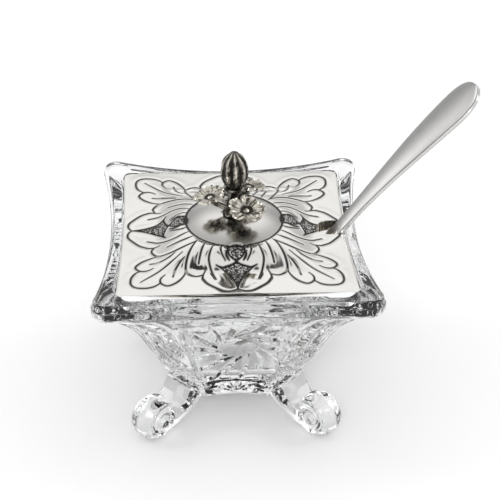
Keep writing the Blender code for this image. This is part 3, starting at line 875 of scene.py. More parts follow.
    def corner(self, across: Field, z: Field) -> tuple[Field, Field]:
        """Return how deep the corners are cut, and where they are covered with hobnails.

        Args:
            across: -1 to 1 over the corner zone.
            z: Heights.

        Returns:
            Depths in millimetres, and the hobnail share.
        """
        place = across * np.interp(z, [4, 20, 50], [5.6, 6.5, 9.5])
        spread = np.interp(z, [14, 52], [1.6, 3.6])
        saw = np.abs((place / spread + 0.5) % 1 - 0.5) * 2
        ends = smooth_step(15.5, 21, z - 1.5 * np.abs(across)) * smooth_step(51.5, 45, z + 2 * np.abs(across))
        flutes = (1 - saw) * ends * self.flute_depth
        band = smooth_step(5.0, 5.8, z) * smooth_step(19.5, 17.5, z + 2 * across**2)
        turns = math.pi / self.nail_pitch
        nails = np.maximum(np.cos(place * turns) * np.cos(z * turns), -0.4)
        return np.maximum(flutes, band * 0.34 * (1 - nails)), band

    def place(self, u: Field, v: Field) -> Mapped:
        """Map the grid onto the glass."""
        table = self.rows()
        row = np.rint(v * (len(table) - 1)).astype(int)
        half, side_half, radius, height, dip, chamfer, dressed = table[row].T
        plan = square_plan(u, half, side_half, radius, chamfer)
        z = height - dip * (1 - plan["share"] ** 2)
        zone = smooth_step(0.8, 1.0, plan["share"])
        panel = np.maximum(self.panel(plan["along"], height), self.tuft(plan["along"], height))
        corner, nails = self.corner(plan["across"], height)
        depth = (panel * (1 - zone) + corner * zone) * dressed
        depth *= smooth_step(2.0, 4.5, height) * smooth_step(53.0, 50.5, height)
        x = plan["x"] - plan["nx"] * depth
        y = plan["y"] - plan["ny"] * depth
        return np.stack([x, y, z], 1), {"stipple": nails * zone * dressed * 0.4}

    def scroll(self, u: Field, v: Field) -> Mapped:
        """Map the grid onto one volute, its axis along Y."""
        angle = 2 * math.pi * u
        swing = math.pi * (v - 0.5)
        share = np.abs(np.cos(swing)) ** 0.9
        side = np.sin(swing)
        groove = smooth_step(0.35, 0.0, np.abs((share * 2.4 - u) % 1 - 0.5))
        groove *= smooth_step(0.98, 0.85, share) * smooth_step(0.16, 0.26, share)
        button = smooth_step(0.26, 0.16, share)
        cut = groove - 0.5 * button + 0.7 * smooth_step(0.55, 0.3, share)
        across = np.sign(side) * (self.scroll_half * np.abs(side) ** 0.72 - cut)
        reach = self.scroll_radius * share
        return np.stack([reach * np.cos(angle), across, reach * np.sin(angle)], 1), {}

    def ankle(self) -> bpy.types.Object:
        """Return the faceted ankle of the foot that points along +X."""
        base_reach = (2 * self.base_half - self.base_corner) / math.sqrt(2)
        run = self.scroll_reach - base_reach
        data = bmesh.new()
        rings = []
        for out_x, out_z, in_x, in_z, out_w, in_w in (
            (-0.2, 0.55, -0.5, 0.3, 0.7, 0.8), (0.02, 0.4, -0.24, -0.02, 0.72, 0.96),
            (0.2, 0.04, 0.12, -0.42, 0.72, 0.84), (0.5, -0.2, 0.46, -0.72, 0.66, 0.68),
            (0.8, -0.33, 0.72, -0.88, 0.5, 0.5),
        ):
            outer = Vector((base_reach + run * out_x, 0, self.foot_drop * out_z))
            inner = Vector((base_reach + run * in_x, 0, self.foot_drop * in_z))
            wide, narrow = (Vector((0, self.foot_half * share, 0)) for share in (out_w, in_w))
            middle, flank = (outer + inner) / 2, (wide + narrow) / 2 * 1.08
            hexagon = (
                outer - wide, outer + wide, middle + flank, inner + narrow, inner - narrow, middle - flank
            )
            rings.append([data.verts.new(corner * MM) for corner in hexagon])
        for lower, upper in zip(rings, rings[1:]):
            for i in range(6):
                j = (i + 1) % 6
                data.faces.new((lower[i], lower[j], upper[j], upper[i]))
        data.faces.new(list(reversed(rings[0])))
        data.faces.new(rings[-1])
        bmesh.ops.recalc_face_normals(data, faces=data.faces)
        bmesh.ops.bevel(
            data, geom=list(data.edges), offset=0.35 * MM, segments=2, affect="EDGES", profile=0.6,
            clamp_overlap=True,
        )
        mesh = bpy.data.meshes.new("ankle")
        fill(mesh, data, outwards=False)
        return add_object("ankle", mesh)

    def foot(self) -> bpy.types.Object:
        """Return one foot: ankle and volute in one solid, cut flat where it stands."""
        scroll = Surface("scroll", 96, 64, self.scroll).build()
        centre = Vector((self.scroll_reach, 0, self.scroll_radius - self.foot_drop - 0.3)) * MM
        scroll.data.transform(Matrix.Translation(centre))
        for vertex in scroll.data.vertices:
            vertex.co.z = max(vertex.co.z, -self.foot_drop * MM)
        ankle = self.ankle()
        join_solids(ankle, scroll)
        return ankle

    def build(self) -> None:
        """Build the dish and let it stand for its solid."""
        dish = Surface("cut_glass_dish", self.columns, len(self.rows()) - 1, self.place).build()
        close_poles(dish)
        foot = self.foot()
        for index in range(4):
            copy = add_object("foot_copy", foot.data.copy())
            copy.data.transform(Matrix.Rotation((index + 0.5) * QUARTER, 4, "Z"))
            join_solids(dish, copy)
        bpy.data.objects.remove(foot)
        sharpen(dish, 32)
        install(dish, "dish", Finish.CRYSTAL, "crystal_dish")


# Lid -------------------------------------------------------------------------


@dataclass(frozen=True)
class Stroke:
    """One chased line in the eighth of the lid between a side's middle and a corner.

    Attributes:
        points: Places as (along the side, out from the centre).
        width: Half its width at the thickest place.
        ends: How thick it stays at its first and last ends, as shares.
    """

    points: tuple[tuple[float, float], ...]
    width: float
    ends: tuple[float, float] = (0.3, 0.3)


# The edges of the two stippled fields, and all lines of the chasing. The star's field runs straight to
# its tip, past the last bend of its line.
OVAL_EDGE = ((0, 16.4), (1.5, 16.6), (2.6, 17.5), (3.1, 19.4), (2.6, 21.4), (1.4, 22.9), (0, 23.8))
STAR_FOOT = ((0, 23.8), (1.2, 24.7), (2.9, 25.3), (5.1, 25.8), (7.2, 25.0))
STAR_SIDE = ((7.2, 25.0), (5.0, 26.7), (3.2, 28.7), (1.9, 30.9), (0.9, 33.3), (0.2, 36.0), (0, 37.6))
STIPPLED = (np.array(OVAL_EDGE), np.array(STAR_FOOT + STAR_SIDE[:-2] + STAR_SIDE[-1:]))
STROKES = (
    Stroke(((0, 37.6), (1.2, 38.4), (2.8, 38.9), (4.9, 38.6), (7.5, 36.8), (10.2, 34.4), (11.5, 32.2),
            (12.0, 30.7), (11.6, 28.7), (10.9, 27.1)), 0.46, (0.55, 0.15)),
    Stroke(((12.1, 29.3), (13.9, 30.0), (15.5, 29.6), (17.2, 28.3), (17.8, 26.8), (17.7, 24.2),
            (17.1, 21.2), (16.0, 18.1), (14.6, 15.1), (12.9, 12.4)), 0.5, (0.5, 0.2)),
    Stroke(((18.0, 27.4), (18.2, 28.9), (19.3, 31.2), (20.9, 33.4), (23.0, 35.1), (24.6, 35.4),
            (26.3, 34.1), (26.7, 32.3), (26.1, 30.6), (25.0, 29.2)), 0.42, (0.2, 0.15)),
    Stroke(((26.4, 33.6), (28.1, 35.5), (30.6, 36.7), (33.5, 36.9), (35.0, 36.5), (35.9, 35.9)),
           0.4, (0.4, 1.0)),
    Stroke(((33.5, 33.5), (29.0, 29.0), (24.0, 24.0), (18.9, 18.9)), 0.24, (0.3, 0.2)),
    Stroke(((22.3, 30.4), (21.5, 26.8), (19.9, 23.6), (18.2, 21.4)), 0.42, (0.5, 0.1)),
    Stroke(((7.5, 31.6), (8.7, 27.8), (9.5, 24.5), (9.6, 21.8), (8.8, 18.9), (7.8, 16.6)), 0.44, (0.7, 0.1)),
    Stroke(((13.3, 24.4), (12.8, 21.5), (11.9, 17.9), (10.8, 15.2)), 0.42, (0.7, 0.1)),
    Stroke(((3.9, 23.5), (5.0, 21.1), (5.4, 19.0), (4.9, 17.6)), 0.34, (0.6, 0.2)),
    Stroke(((3.5, 20.0), (3.4, 21.8), (2.5, 23.6)), 0.62, (0.3, 0.3)),
    Stroke(OVAL_EDGE, 0.24, (0.8, 0.8)),
    Stroke(STAR_FOOT, 0.26, (0.9, 0.3)),
    Stroke(STAR_SIDE, 0.3, (0.3, 0.8)),
)


@dataclass
class Lid:
    """The chased top of the lid, laid over the plain solid, which keeps the edge, skirt and underside."""

    half: float = 42.05
    side_half: float = 40.75
    corner: float = 3.6
    top: float = 58.3
    sag: float = 0.4
    border: float = 11.6
    cushion: float = 4.3
    dome: float = 17.3
    dome_rise: float = 3.2
    groove: float = 0.9
    notch_width: float = 9.5
    notch_length: float = 10.5
    lip: float = 2.5
    line_depth: float = 0.18
    stipple_depth: float = 0.1
    shoulder_rise: float = 0.05
    overlap: float = 0.04
    cover: float = 0.42
    dome_cover: float = 0.14
    edge_drop: float = 0.16
    hem: float = 0.75
    steps: int = 306

    def outline(self, a: Field, b: Field) -> Points:
        """Map a square from -1 to 1 onto the lid's plan."""
        grown = self.side_half + self.overlap
        bulge = self.half - self.side_half
        x = a * (grown + bulge * b**2)
        y = b * (grown + bulge * a**2)
        centre = self.half + self.overlap - self.corner
        px = np.clip((np.abs(x) - centre) / self.corner, 0, 1)
        py = np.clip((np.abs(y) - centre) / self.corner, 0, 1)
        in_corner = (px > 0) & (py > 0)
        round_x = centre + self.corner * px * np.sqrt(1 - py**2 / 2)
        round_y = centre + self.corner * py * np.sqrt(1 - px**2 / 2)
        x = np.where(in_corner, round_x * np.sign(x), x)
        y = np.where(in_corner, round_y * np.sign(y), y)
        return np.stack([x, y], 1)

    def notch(self) -> Points:
        """Return the outline of the spoon's notch, in order and closed past the lid's edge."""
        inner = self.notch_width / 2
        centre = self.side_half - self.notch_length + inner
        turn = np.linspace(QUARTER, 3 * QUARTER, 40)
        arc = np.stack([centre + inner * np.cos(turn), inner * np.sin(turn)], 1)
        lip_x = self.side_half - self.lip
        bend = np.linspace(QUARTER, 0, 12)
        lower = np.stack([lip_x + self.lip * np.cos(bend), -inner - self.lip * (1 - np.sin(bend))], 1)
        ends = np.array([(self.half + 9, -inner - self.lip), (self.half + 9, inner + self.lip)])
        upper = lower[::-1] * (1, -1)
        return np.vstack([arc, lower, ends, upper])

    def base_height(self, flat: Points) -> Field:
        """Return the height of the plain solid's top, as smooth as the real sheet.

        Args:
            flat: Places in the plane.

        Returns:
            Heights in millimetres.
        """
        x, y = np.abs(flat).T
        large, small = np.maximum(x, y), np.minimum(x, y)
        ratio = small / np.maximum(large, 1e-6)
        radius = np.hypot(x, y)
        edge_height = self.top - self.sag * (1 - np.minimum(ratio * 1.08, 1) ** 2)
        inner_side = self.side_half - self.border
        square = inner_side + (self.half - self.side_half) * ratio**2
        square = np.where(ratio > 0.8, square - 54.25 * (ratio - 0.8) ** 2, square)
        circle = (self.dome + self.groove) * large / np.maximum(radius, 1e-6)
        eased = smooth_step(0.0, 1.0, (square - large) / np.maximum(square - circle, 1e-6))
        dome_base = self.top - self.sag + self.cushion
        height = edge_height + (dome_base - edge_height) * eased
        sphere = (self.dome**2 + self.dome_rise**2) / (2 * self.dome_rise)
        dome = dome_base + self.dome_rise - sphere + np.sqrt(np.maximum(sphere**2 - radius**2, 0))
        return np.where(radius < self.dome, dome, height)

    def strokes(self, flat: Points) -> tuple[Field, Field, Field]:
        """Return the relief, the blackening with the dome's painted reflection, and the stippled share of the
        chasing.

        Args:
            flat: Places in the plane.

        Returns:
            Heights in millimetres, and two fields from 0 to 1.
        """
        folded = np.sort(np.abs(flat), axis=1)
        groove = np.zeros(len(flat))
        shoulder = np.zeros(len(flat))
        blackening_and_painted_shade = np.zeros(len(flat))
        for stroke in STROKES:
            line = smooth_curve(stroke.points, 6 * len(stroke.points))
            distance, share = nearest(folded, line)
            swell = np.interp(share, [0, 0.3, 0.7, 1], [stroke.ends[0], 1, 1, stroke.ends[1]])
            half = stroke.width * swell
            groove = np.maximum(groove, bell(distance, half + 0.12) * swell)
            shoulder = np.maximum(shoulder, bell(distance - 1.7, 1.2) * swell)
            blackening = (0.34 + 0.62 * half - distance) / (0.24 + 0.2 * half)
            blackening_and_painted_shade = np.maximum(blackening_and_painted_shade, smooth_step(0.0, 1.0, blackening))
        stipple = sum(inside(folded, field).astype(float) for field in STIPPLED)
        radius = np.hypot(*flat.T)
        from_ring = radius - self.dome - self.groove / 2
        groove = np.maximum(groove, bell(from_ring, 0.42))
        blackening_and_painted_shade = np.maximum(blackening_and_painted_shade, smooth_step(0.62, 0.3, np.abs(from_ring)))
        relief = self.shoulder_rise * shoulder * (radius >= self.dome)
        relief -= self.line_depth * groove + self.stipple_depth * stipple
        # The dome's grey, light in the middle and darker towards its ring, is a painted reflection, not
        # blackening.
        dome_painted_reflection = 0.1 + 0.36 * smooth_step(0.5, 1.0, radius / self.dome)
        return relief, np.where(radius < self.dome - 0.1, dome_painted_reflection, blackening_and_painted_shade), stipple

    def place(self, u: Field, v: Field) -> Mapped:
        """Map the grid onto the lid's top."""
        a, b = 2 * u - 1, 2 * v - 1
        flat = self.outline(a, b)
        outline = self.notch()
        closed = np.vstack([outline, outline[:1]])
        snap_reach = 0.62 * 2 * self.half / self.steps
        near_notch = np.flatnonzero((flat[:, 0] > 25) & (np.abs(flat[:, 1]) < 12))
        distance, share = nearest(flat[near_notch], closed)
        cut = np.zeros(len(flat))
        cut[near_notch] = inside(flat[near_notch], outline) & (distance > snap_reach)
        snap = (distance < snap_reach) & (flat[near_notch, 0] < self.half - 0.6)
        flat[near_notch[snap]] = np.stack(read_along(closed, share[snap]), 1)
        relief, blackening_and_painted_shade, stipple = self.strokes(flat)
        cover = np.where(np.hypot(*flat.T) < self.dome, self.dome_cover, self.cover)
        near_edge = np.maximum(np.abs(a), np.abs(b))
        z = self.base_height(flat) + cover + relief * smooth_step(1.0, 0.985, near_edge)
        z -= self.edge_drop * smooth_step(0.988, 1.0, near_edge)
        return np.column_stack([flat, z]), {"blackening_and_painted_shade": blackening_and_painted_shade, "stipple": stipple, "cut": cut}

    def build(self) -> None:
        """Lay the chased top over the lid's solid, and give the solid a darker copy of the polished silver as
        painted shade.
        """
        skin = Surface("chased_lid_top", self.steps, self.steps, self.place, wrap=False).build()
        data = bmesh.new()
        data.from_mesh(skin.data)
        layer = data.verts.layers.float["cut"]
        gone = [vertex for vertex in data.verts if vertex[layer] > 0.5]
        bmesh.ops.delete(data, geom=gone, context="VERTS")
        rim = [edge for edge in data.edges if edge.is_boundary]
        hem = bmesh.ops.extrude_edge_only(data, edges=rim)["geom"]
        lower = [item for item in hem if isinstance(item, bmesh.types.BMVert)]
        bmesh.ops.translate(data, verts=lower, vec=(0, 0, -self.hem * MM))
        fill(skin.data, data)
        sharpen(skin, 60)
        install(skin, "lid", Finish.CHASED)
        # The solid's edge, skirt and notch walls get a darker copy of the polished silver as painted shade.
        Finish.PAINTED_SHADE_SILVER.paint(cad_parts["lid_plate"])


# Finial ----------------------------------------------------------------------


@dataclass(frozen=True)
class Flower:
    """One five-petal flower of the finial.

    Attributes:
        node: The solid that it replaces.
        angle: Its direction from the stem.
        size: Its size as a share of the full one.
        lift: Its height as a share of the full lift.
    """

    node: str
    angle: float
    size: float
    lift: float


FLOWERS = (
    Flower("finial_flower_front", math.radians(-62), 1.0, 0.0),
    Flower("finial_flower_left", math.radians(178), 0.9, 0.2),
    Flower("finial_flower_back", math.radians(50), 0.88, 0.3),
)
# Direction in degrees, height on the stem and length of each leaf
LEAVES = ((-10, 2.4, 5.4), (118, 2.0, 5.2), (235, 2.2, 5.0), (-110, 5.4, 3.6), (20, 6.0, 3.4))


@dataclass
class Finial:
    """The cast finial: ribbed bud, twisted stem with leaves, and three flowers."""

    foot: float = 65.7
    stem_height: float = 11.2
    stem_radius: float = 3.9
    bud_foot: float = 77.2
    bud_height: float = 13.4
    bud_radius: float = 5.2
    petal_reach: float = 6.9
    petal_cup: float = 2.2
    petal_thickness: float = 0.8
    flower_reach: float = 8.6
    flower_rise: float = 4.6
    tilt: float = math.radians(12)

    def bud(self, u: Field, v: Field) -> Mapped:
        """Map the grid onto the bud."""
        profile = smooth_curve(
            [(0, 0.02), (0, 0.5), (0.05, 0.66), (0.15, 0.82), (0.28, 0.94), (0.42, 1.0), (0.56, 0.99),
             (0.68, 0.92), (0.79, 0.78), (0.88, 0.58), (0.94, 0.4), (0.965, 0.32), (0.985, 0.28),
             (1.0, 0.02)],
            400,
        )
        height, radius = read_along(profile, v)
        angle = 2 * math.pi * u
        fade = np.sin(math.pi * np.clip(height, 0.02, 0.98)) ** 0.6
        rib = np.abs(np.cos(4.5 * angle + 0.7 * height))
        fine = np.abs(np.sin(13.5 * angle + 2.1 * height))
        sepal_top = 0.46 * np.abs(np.cos(2.5 * angle))
        sepal = smooth_step(-0.06, 0.02, sepal_top - height)
        edge = bell(sepal_top - height - 0.01, 0.03)
        reach = self.bud_radius * radius - 0.15 * fade
        reach += fade * (0.42 * sepal - 0.75 * (1 - rib) ** 1.5 - 0.16 * fine - 0.2 * edge)
        reach = np.minimum(reach, self.bud_radius * radius)
        blackening_and_painted_shade = (1 - rib) ** 0.8 * 1.5 + 0.3 * fine**4 + 0.9 * edge + 0.25 * (1 - fade)
        places = turned(reach, angle, self.bud_foot + height * self.bud_height)
        return places, blackening_and_painted_shade_values(np.clip(blackening_and_painted_shade, 0, 1) * 0.96)

    def stem(self, u: Field, v: Field) -> Mapped:
        """Map the grid onto the twisted stem and its calyx."""
        profile = smooth_curve(
            [(0, 0.03), (0, 1.0), (0.05, 1.0), (0.12, 0.8), (0.2, 0.68), (0.35, 0.62), (0.5, 0.58),
             (0.66, 0.6), (0.8, 0.7), (0.91, 0.94), (0.99, 0.9), (1.0, 0.03)],
            300,
        )
        height, radius = read_along(profile, v)
        angle = 2 * math.pi * u
        twist = angle - math.radians(110) * height
        strand = np.abs(np.cos(2.5 * twist))
        bark = np.abs(np.sin(9 * twist + 5 * height))
        fade = np.sin(math.pi * np.clip(height + 0.08, 0.05, 0.95))
        reach = self.stem_radius * radius + fade * (0.4 * strand - 0.12 * bark)
        reach = np.where(radius <= 0.04, 0.1, reach)
        blackening_and_painted_shade = np.clip((1 - strand) * 1.4 + 0.35 * bark + 0.2, 0, 1)
        places = turned(reach, angle, self.foot + np.clip(height, 0, 1) * self.stem_height)
        return places, blackening_and_painted_shade_values(blackening_and_painted_shade)

    def petals(self, size: float) -> Mapping:
        """Return the mapping of a grid onto a cupped flower of the given size."""

        def place(u: Field, v: Field) -> Mapped:
            angle = 2 * math.pi * u
            wave = np.abs(np.cos(2.5 * angle))
            out = 0.06 + 0.94 * v
            outline = 0.76 + 0.24 * wave**0.45 + 0.03 * np.cos(15 * angle + 0.6)
            reach = self.petal_reach * size * out * (1 + (outline - 1) * out**2)
            veins = np.abs(np.sin(7.5 * angle)) ** 3
            cup = self.petal_cup * size * (out**1.6 - 0.5 * out**2 * wave)
            cup -= 0.7 * smooth_step(0.3, 0.0, wave) * out
            cup += 0.35 * out**3 * np.cos(10 * angle + 1.2) - 0.2 * veins * out * (1 - out)
            cup += 0.35 * smooth_step(0.84, 1.0, out) * wave
            # The petals darken between each other, along their veins and towards the eye: partly blackening
            # in the hollows, partly painted shade.
            blackening_and_painted_shade = smooth_step(0.34, 0.08, wave) + 0.6 * veins * (1.1 - out) + smooth_step(0.46, 0.28, out)
            rubbed = 0.95 * smooth_step(0.9, 0.97, out)
            return turned(reach, angle, cup), blackening_and_painted_shade_values(np.clip(blackening_and_painted_shade, 0, 1) * (1 - rubbed))

        return place

    @staticmethod
    def button(u: Field, v: Field) -> Mapped:
        """Map the grid onto a flower's beaded eye of unit radius."""
        angle = 2 * math.pi * u
        swing = math.pi * (v - 0.5)
        beads = 0.12 * np.abs(np.sin(5 * angle)) * np.cos(swing) ** 2
        blackening_and_painted_shade = np.clip(3 * beads + smooth_step(0.4, -0.6, np.sin(swing)), 0, 1) * 0.7
        reach = 1.45 * np.cos(swing) * (1 - beads)
        return turned(reach, angle, np.sin(swing) * 1.1 + 0.25), blackening_and_painted_shade_values(blackening_and_painted_shade)

    def axis(self, angle: float) -> Vector:
        """Return the way that a flower faces."""
        out = math.sin(self.tilt)
        return Vector((out * math.cos(angle), out * math.sin(angle), math.cos(self.tilt)))

    def seat(self, flower: Flower) -> Vector:
        """Return the middle of the back of a flower, in millimetres."""
        height = self.foot + self.flower_rise * (1 + flower.lift)
        reach = self.flower_reach
        return Vector((reach * math.cos(flower.angle), reach * math.sin(flower.angle), height))

    def build_flower(self, flower: Flower) -> None:
        """Build one flower and let it stand for its solid."""
        side = flower.node.rsplit("_", 1)[1]
        petals = Surface(f"petals_{side}", 200, 36, self.petals(flower.size)).build()
        thicken(petals, self.petal_thickness)
        eye = Surface("eye", 60, 24, self.button).build()
        eye.data.transform(Matrix.Scale(flower.size, 4))
        merge([petals, eye])
        facing = Matrix.Rotation(flower.angle, 4, "Z") @ Matrix.Rotation(self.tilt, 4, "Y")
        petals.data.transform(Matrix.Translation(self.seat(flower) * MM) @ facing)
        sharpen(petals, 50)
        install(petals, "lid", Finish.CAST, flower.node)

    def twig(self, flower: Flower) -> bpy.types.Object:
        """Return the bent twig that carries a flower."""
        start = Vector((0, 0, self.foot + 1.6))
        end = self.seat(flower) - self.axis(flower.angle) * 0.9
        middle = start.lerp(end, 0.5) + Vector((0, 0, -0.5))
        line = smooth_curve([tuple(start), tuple(middle), tuple(end)], 14)
        run = (end - start).normalized()
        side = run.cross(Vector((0, 0, 1))).normalized()
        up = side.cross(run)

        def place(u: Field, v: Field) -> Mapped:
            centre = np.stack(read_along(line, v), 1)
            angle = 2 * math.pi * u
            bark = np.abs(np.sin(4 * angle + 6 * v))
            radius = 1.25 - 0.2 * v - 0.14 * bark
            offset = np.outer(np.cos(angle) * radius, side) + np.outer(np.sin(angle) * radius, up)
            return centre + offset, blackening_and_painted_shade_values(bark * 0.7)

        return Surface("twig", 40, 20, place).build()

    def leaf(self, angle: float, rise: float, length: float) -> bpy.types.Object:
        """Return one curled leaf that grows from the stem."""

        def place(u: Field, v: Field) -> Mapped:
            across = (u - 0.5) * 2
            half = 1.35 * np.sin(math.pi * np.clip(v, 0.02, 0.98)) ** 0.7
            out = 2.1 + length * v
            up = rise + 2.6 * v - 2.4 * v**2 + 0.3 * np.abs(across)
            vein = bell(across, 0.14) + 0.5 * np.abs(np.sin(9 * v + 3 * np.abs(across)))
            turn = angle + 0.25 * v
            x = out * np.cos(turn) - across * half * np.sin(turn)
            y = out * np.sin(turn) + across * half * np.cos(turn)
            places = np.stack([x, y, self.foot + up - 0.12 * vein], 1)
            return places, blackening_and_painted_shade_values(np.clip(vein, 0, 1) * 0.8)

        made = Surface("leaf", 20, 30, place, wrap=False).build()
        thicken(made, 0.5)
        return made

    def build(self) -> None:
        """Build the whole finial."""
        bud = Surface("ribbed_bud", 216, 130, self.bud).build()
        install(bud, "lid", Finish.CAST, "finial_bud")
        stem = Surface("twisted_stem", 160, 90, self.stem).build()
        parts = [stem] + [self.twig(flower) for flower in FLOWERS]
        for angle, rise, length in LEAVES:
            parts.append(self.leaf(math.radians(angle), rise, length))
        merge(parts)
        install(stem, "lid", Finish.CAST, "finial_stem")
        for flower in FLOWERS:
            self.build_flower(flower)
        for name in ("finial_screw", "finial_washer"):
            Finish.STEEL.paint(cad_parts[name])


# Spoon -----------------------------------------------------------------------


@dataclass
class Spoon:
    """The plain spoon, with a step along the edges of its handle."""

    lean: float = math.radians(51.6)
    start: tuple[float, float, float] = (38.9, 0.0, 57.9)
    bowl_foot: float = 7.2
    handle: float = 73.0
    width: float = 20.8
    thickness: float = 2.2
    bow: float = 1.4
    crown: float = 0.25
    bowl: float = 31.0
    bowl_half: float = 10.5
    bowl_depth: float = 5.0

    def rows(self) -> Points:
        """Return place along, half width, thickness and depth from the handle's tip to the bowl's."""
        neck = (self.start[2] - self.bowl_foot) / math.sin(self.lean) - self.bowl
        half = self.width / 2
        handle = ((1.0, 0.02), (0.996, 0.2), (0.985, 0.46), (0.96, 0.74), (0.92, 0.92), (0.86, 1.0),
                  (0.76, 0.97), (0.6, 0.85), (0.4, 0.65), (0.2, 0.47), (0.07, 0.41), (0.0, 0.394))
        table = [(self.handle * s, half * w, self.thickness, 0.0) for s, w in handle]
        for s, w in ((0.3, 0.36), (0.6, 0.29), (0.85, 0.27), (1.0, 0.3)):
            table.append((-neck * s, half * w, 2.0, 0.0))
        for s, w, d in (
            (0.06, 0.34, 0.05), (0.14, 0.56, 0.25), (0.26, 0.82, 0.62), (0.4, 0.97, 0.93),
            (0.54, 1.0, 1.0), (0.68, 0.94, 0.88), (0.8, 0.79, 0.62), (0.9, 0.58, 0.33),
            (0.96, 0.38, 0.13), (1.0, 0.03, 0.0),
        ):
            thick = 2.0 - 0.8 * min(1.0, 3 * s)
            table.append((-neck - self.bowl * s, self.bowl_half * w, thick, self.bowl_depth * d))
        rows = smooth_curve(table, 400)
        rows[:, 1] = np.maximum(rows[:, 1], 0.05)
        return rows

    def place(self, u: Field, v: Field) -> Mapped:
        """Map the grid onto the spoon, from the tip of its handle to the tip of its bowl."""
        along, half, thick, depth = read_along(self.rows(), v)
        angle = 2 * math.pi * u
        across = np.sign(np.cos(angle)) * np.abs(np.cos(angle)) ** 0.55
        up = np.sign(np.sin(angle)) * np.abs(np.sin(angle)) ** 0.38
        share = np.clip(along / self.handle, 0, 1)
        step = 0.16 * smooth_step(0.35, 0.15, np.abs(up)) * (along > 2)
        hollow = 1 - across**2
        fade = smooth_step(0, 8, along)
        face = np.where(up > 0, self.crown * (hollow * (along > 0) * fade - 1), 0) * fade
        lift = 4 * self.bow * share * (1 - share) + up * thick / 2 + face - depth * hollow
        along_axis = np.array([math.cos(self.lean), 0, math.sin(self.lean)])
        normal = np.array([-math.sin(self.lean), 0, math.cos(self.lean)])
        centre = np.array(self.start) + np.outer(along, along_axis) + np.outer(lift, normal)
        centre[:, 1] += across * (half - step)
        # The dark line along the step is painted shade. The face's grey, light at one edge and dark at the
        # other, and the flat grey of the handle's edges and underside are painted reflection, not blackening.
        from_edge = np.minimum(angle % math.pi, math.pi - angle % math.pi)
        line = bell(from_edge - 0.46, 0.13) * (up > 0) * smooth_step(-4, 2, along)
        tone = 0.02 + 0.72 * smooth_step(-1.0, 0.6, across)
        tone = np.where(up > 0.82, tone, 0.3 * (along > 0))
        return centre, blackening_and_painted_shade_values(np.clip(np.maximum(line, tone), 0, 1))

    def build(self) -> None:
        """Build the spoon and let it stand for its solid."""
        spoon = Surface("plain_silver_spoon", 96, 300, self.place).build()
        close_poles(spoon)
        sharpen(spoon, 40)
        install(spoon, "spoon", Finish.PLAIN, "honey_spoon")


# Studio ----------------------------------------------------------------------


@dataclass(frozen=True)
class View:
    """The photograph's camera, found from the plan of the rim and lid.

    Attributes:
        yaw: Its turn to the right, in degrees.
        pitch: How far it looks down, in degrees.
        roll: Its roll, in degrees.
        height: The height of the middle of the rim, in metres.
        distance: From there, in metres.
        picture: The width of the photograph in pixels.
        focal: Its focal length in those pixels.
        centre: Where the middle of the rim is in the photograph.
    """

    yaw: float = 2.2
    pitch: float = 32.6
    roll: float = 0.2
    height: float = 60 * MM
    distance: float = 0.463
    picture: int = 500
    focal: float = 1262.0
    centre: tuple[float, float] = (234.0, 225.2)

    def build(self) -> None:
        """Make the camera."""
        yaw, pitch, roll = (math.radians(a) for a in (self.yaw, self.pitch, self.roll))
        look = Vector((math.sin(yaw) * math.cos(pitch), math.cos(yaw) * math.cos(pitch), -math.sin(pitch)))
        level = Vector((math.cos(yaw), -math.sin(yaw), 0))
        upright = level.cross(look)
        right = level * math.cos(roll) + upright * math.sin(roll)
        up = upright * math.cos(roll) - level * math.sin(roll)
        camera = add_object("camera", bpy.data.cameras.new("camera"))
        matrix = Matrix((right, up, -look)).transposed().to_4x4()
        matrix.translation = Vector((0, 0, self.height)) - look * self.distance
        camera.matrix_world = matrix
        camera.data.sensor_width = 36
        camera.data.lens = self.focal / self.picture * 36
        camera.data.shift_x = 0.5 - self.centre[0] / self.picture
        camera.data.shift_y = self.centre[1] / self.picture - 0.5
        camera.data.clip_start = 0.01
        bpy.context.scene.camera = camera


@dataclass(frozen=True)
class Softbox:
    """A soft area light.

    Attributes:
        name: Its name.
        place: Where it stands, in metres.
        size: Its width and height, in metres.
        power: Its power in watts.
    """

    name: str
    place: tuple[float, float, float]
    size: tuple[float, float]
    power: float

    def build(self) -> None:
        """Make the light, facing the dish."""
        data = bpy.data.lights.new(self.name, "AREA")
        data.shape = "RECTANGLE"
        data.size, data.size_y = self.size
        data.energy = self.power
        light = add_object(self.name, data)
        light.location = self.place
        toward_dish = Vector((0, 0, 40 * MM)) - light.location
        light.rotation_euler = toward_dish.to_track_quat("-Z", "Y").to_euler()


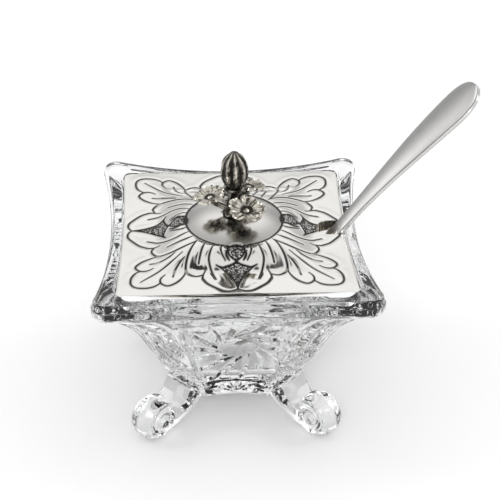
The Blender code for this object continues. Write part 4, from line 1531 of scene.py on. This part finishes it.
class Studio:
    """White floor, grey surroundings and soft lights.

    The tones of the surroundings go by how far up a direction looks. The dark spot above and behind
    gives the dome and the front leaves their black reflections.
    """

    LIGHTS = (
        Softbox("front", (-0.15, -1.0, 0.9), (0.5, 0.3), 3.2),
        Softbox("left", (-0.95, 0.15, 0.8), (0.25, 0.6), 1.5),
        Softbox("right", (0.95, 0.15, 0.7), (0.25, 0.6), 1.3),
    )
    TONES = (
        (0.0, 1.0), (0.1, 0.92), (0.22, 0.54), (0.36, 0.58), (0.47, 0.76), (0.54, 0.93), (0.66, 0.95),
        (0.85, 0.84), (1.0, 0.8),
    )
    STRENGTH = 1.16
    SPOT = (0.03, 0.242, 0.97)
    SPOT_EDGE = (0.9925, 0.998)
    SPOT_COLOUR = (0.03, 0.03, 0.03, 1.0)
    FLOOR_HEIGHT = -12.05 * MM

    def floor(self) -> None:
        """Make the pale floor."""
        data = bmesh.new()
        bmesh.ops.create_grid(data, x_segments=1, y_segments=1, size=6.0)
        mesh = bpy.data.meshes.new("floor")
        fill(mesh, data, outwards=False)
        made = add_object("floor", mesh)
        made.location.z = self.FLOOR_HEIGHT
        nodes = Nodes.of_material("floor_paint")
        tone = nodes.noise(3.0, 2.0).ramp(0.3, 0.7, 0.93, 0.945)
        colour = nodes.add("ShaderNodeCombineColor", {"Red": tone, "Green": tone, "Blue": tone})
        mesh.materials.append(nodes.finish(Base_Color=colour, Roughness=0.85, Specular_IOR_Level=0.1))

    def surroundings(self) -> None:
        """Make the surroundings: bright low down and overhead, darker between."""
        world = bpy.data.worlds.new("studio")
        bpy.context.scene.world = world
        nodes = Nodes(world, "Background", "Generated")
        up = nodes.add("ShaderNodeSeparateXYZ", {0: nodes.coordinates}, output="Z")
        tone = nodes.add("ShaderNodeValToRGB", {"Fac": up}, output="Color", stops=self.TONES)
        toward = nodes.add(
            "ShaderNodeVectorMath", {0: nodes.coordinates, 1: self.SPOT}, output="Value",
            operation="DOT_PRODUCT",
        )
        low, high = self.SPOT_EDGE
        spot = nodes.add("ShaderNodeMapRange", {"Value": toward, "From Min": low, "From Max": high})
        nodes.finish(Color=nodes.mix(spot, tone, self.SPOT_COLOUR), Strength=self.STRENGTH)

    def build(self) -> None:
        """Make everything round the object."""
        self.floor()
        self.surroundings()
        for light in self.LIGHTS:
            light.build()
        bpy.context.scene.view_settings.view_transform = "Standard"


def main() -> None:
    """Build the scene."""
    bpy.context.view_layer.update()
    Dish().build()
    Lid().build()
    Finial().build()
    Spoon().build()
    Studio().build()
    View().build()
    bpy.context.view_layer.update()


if __name__ == "__main__":
    main()
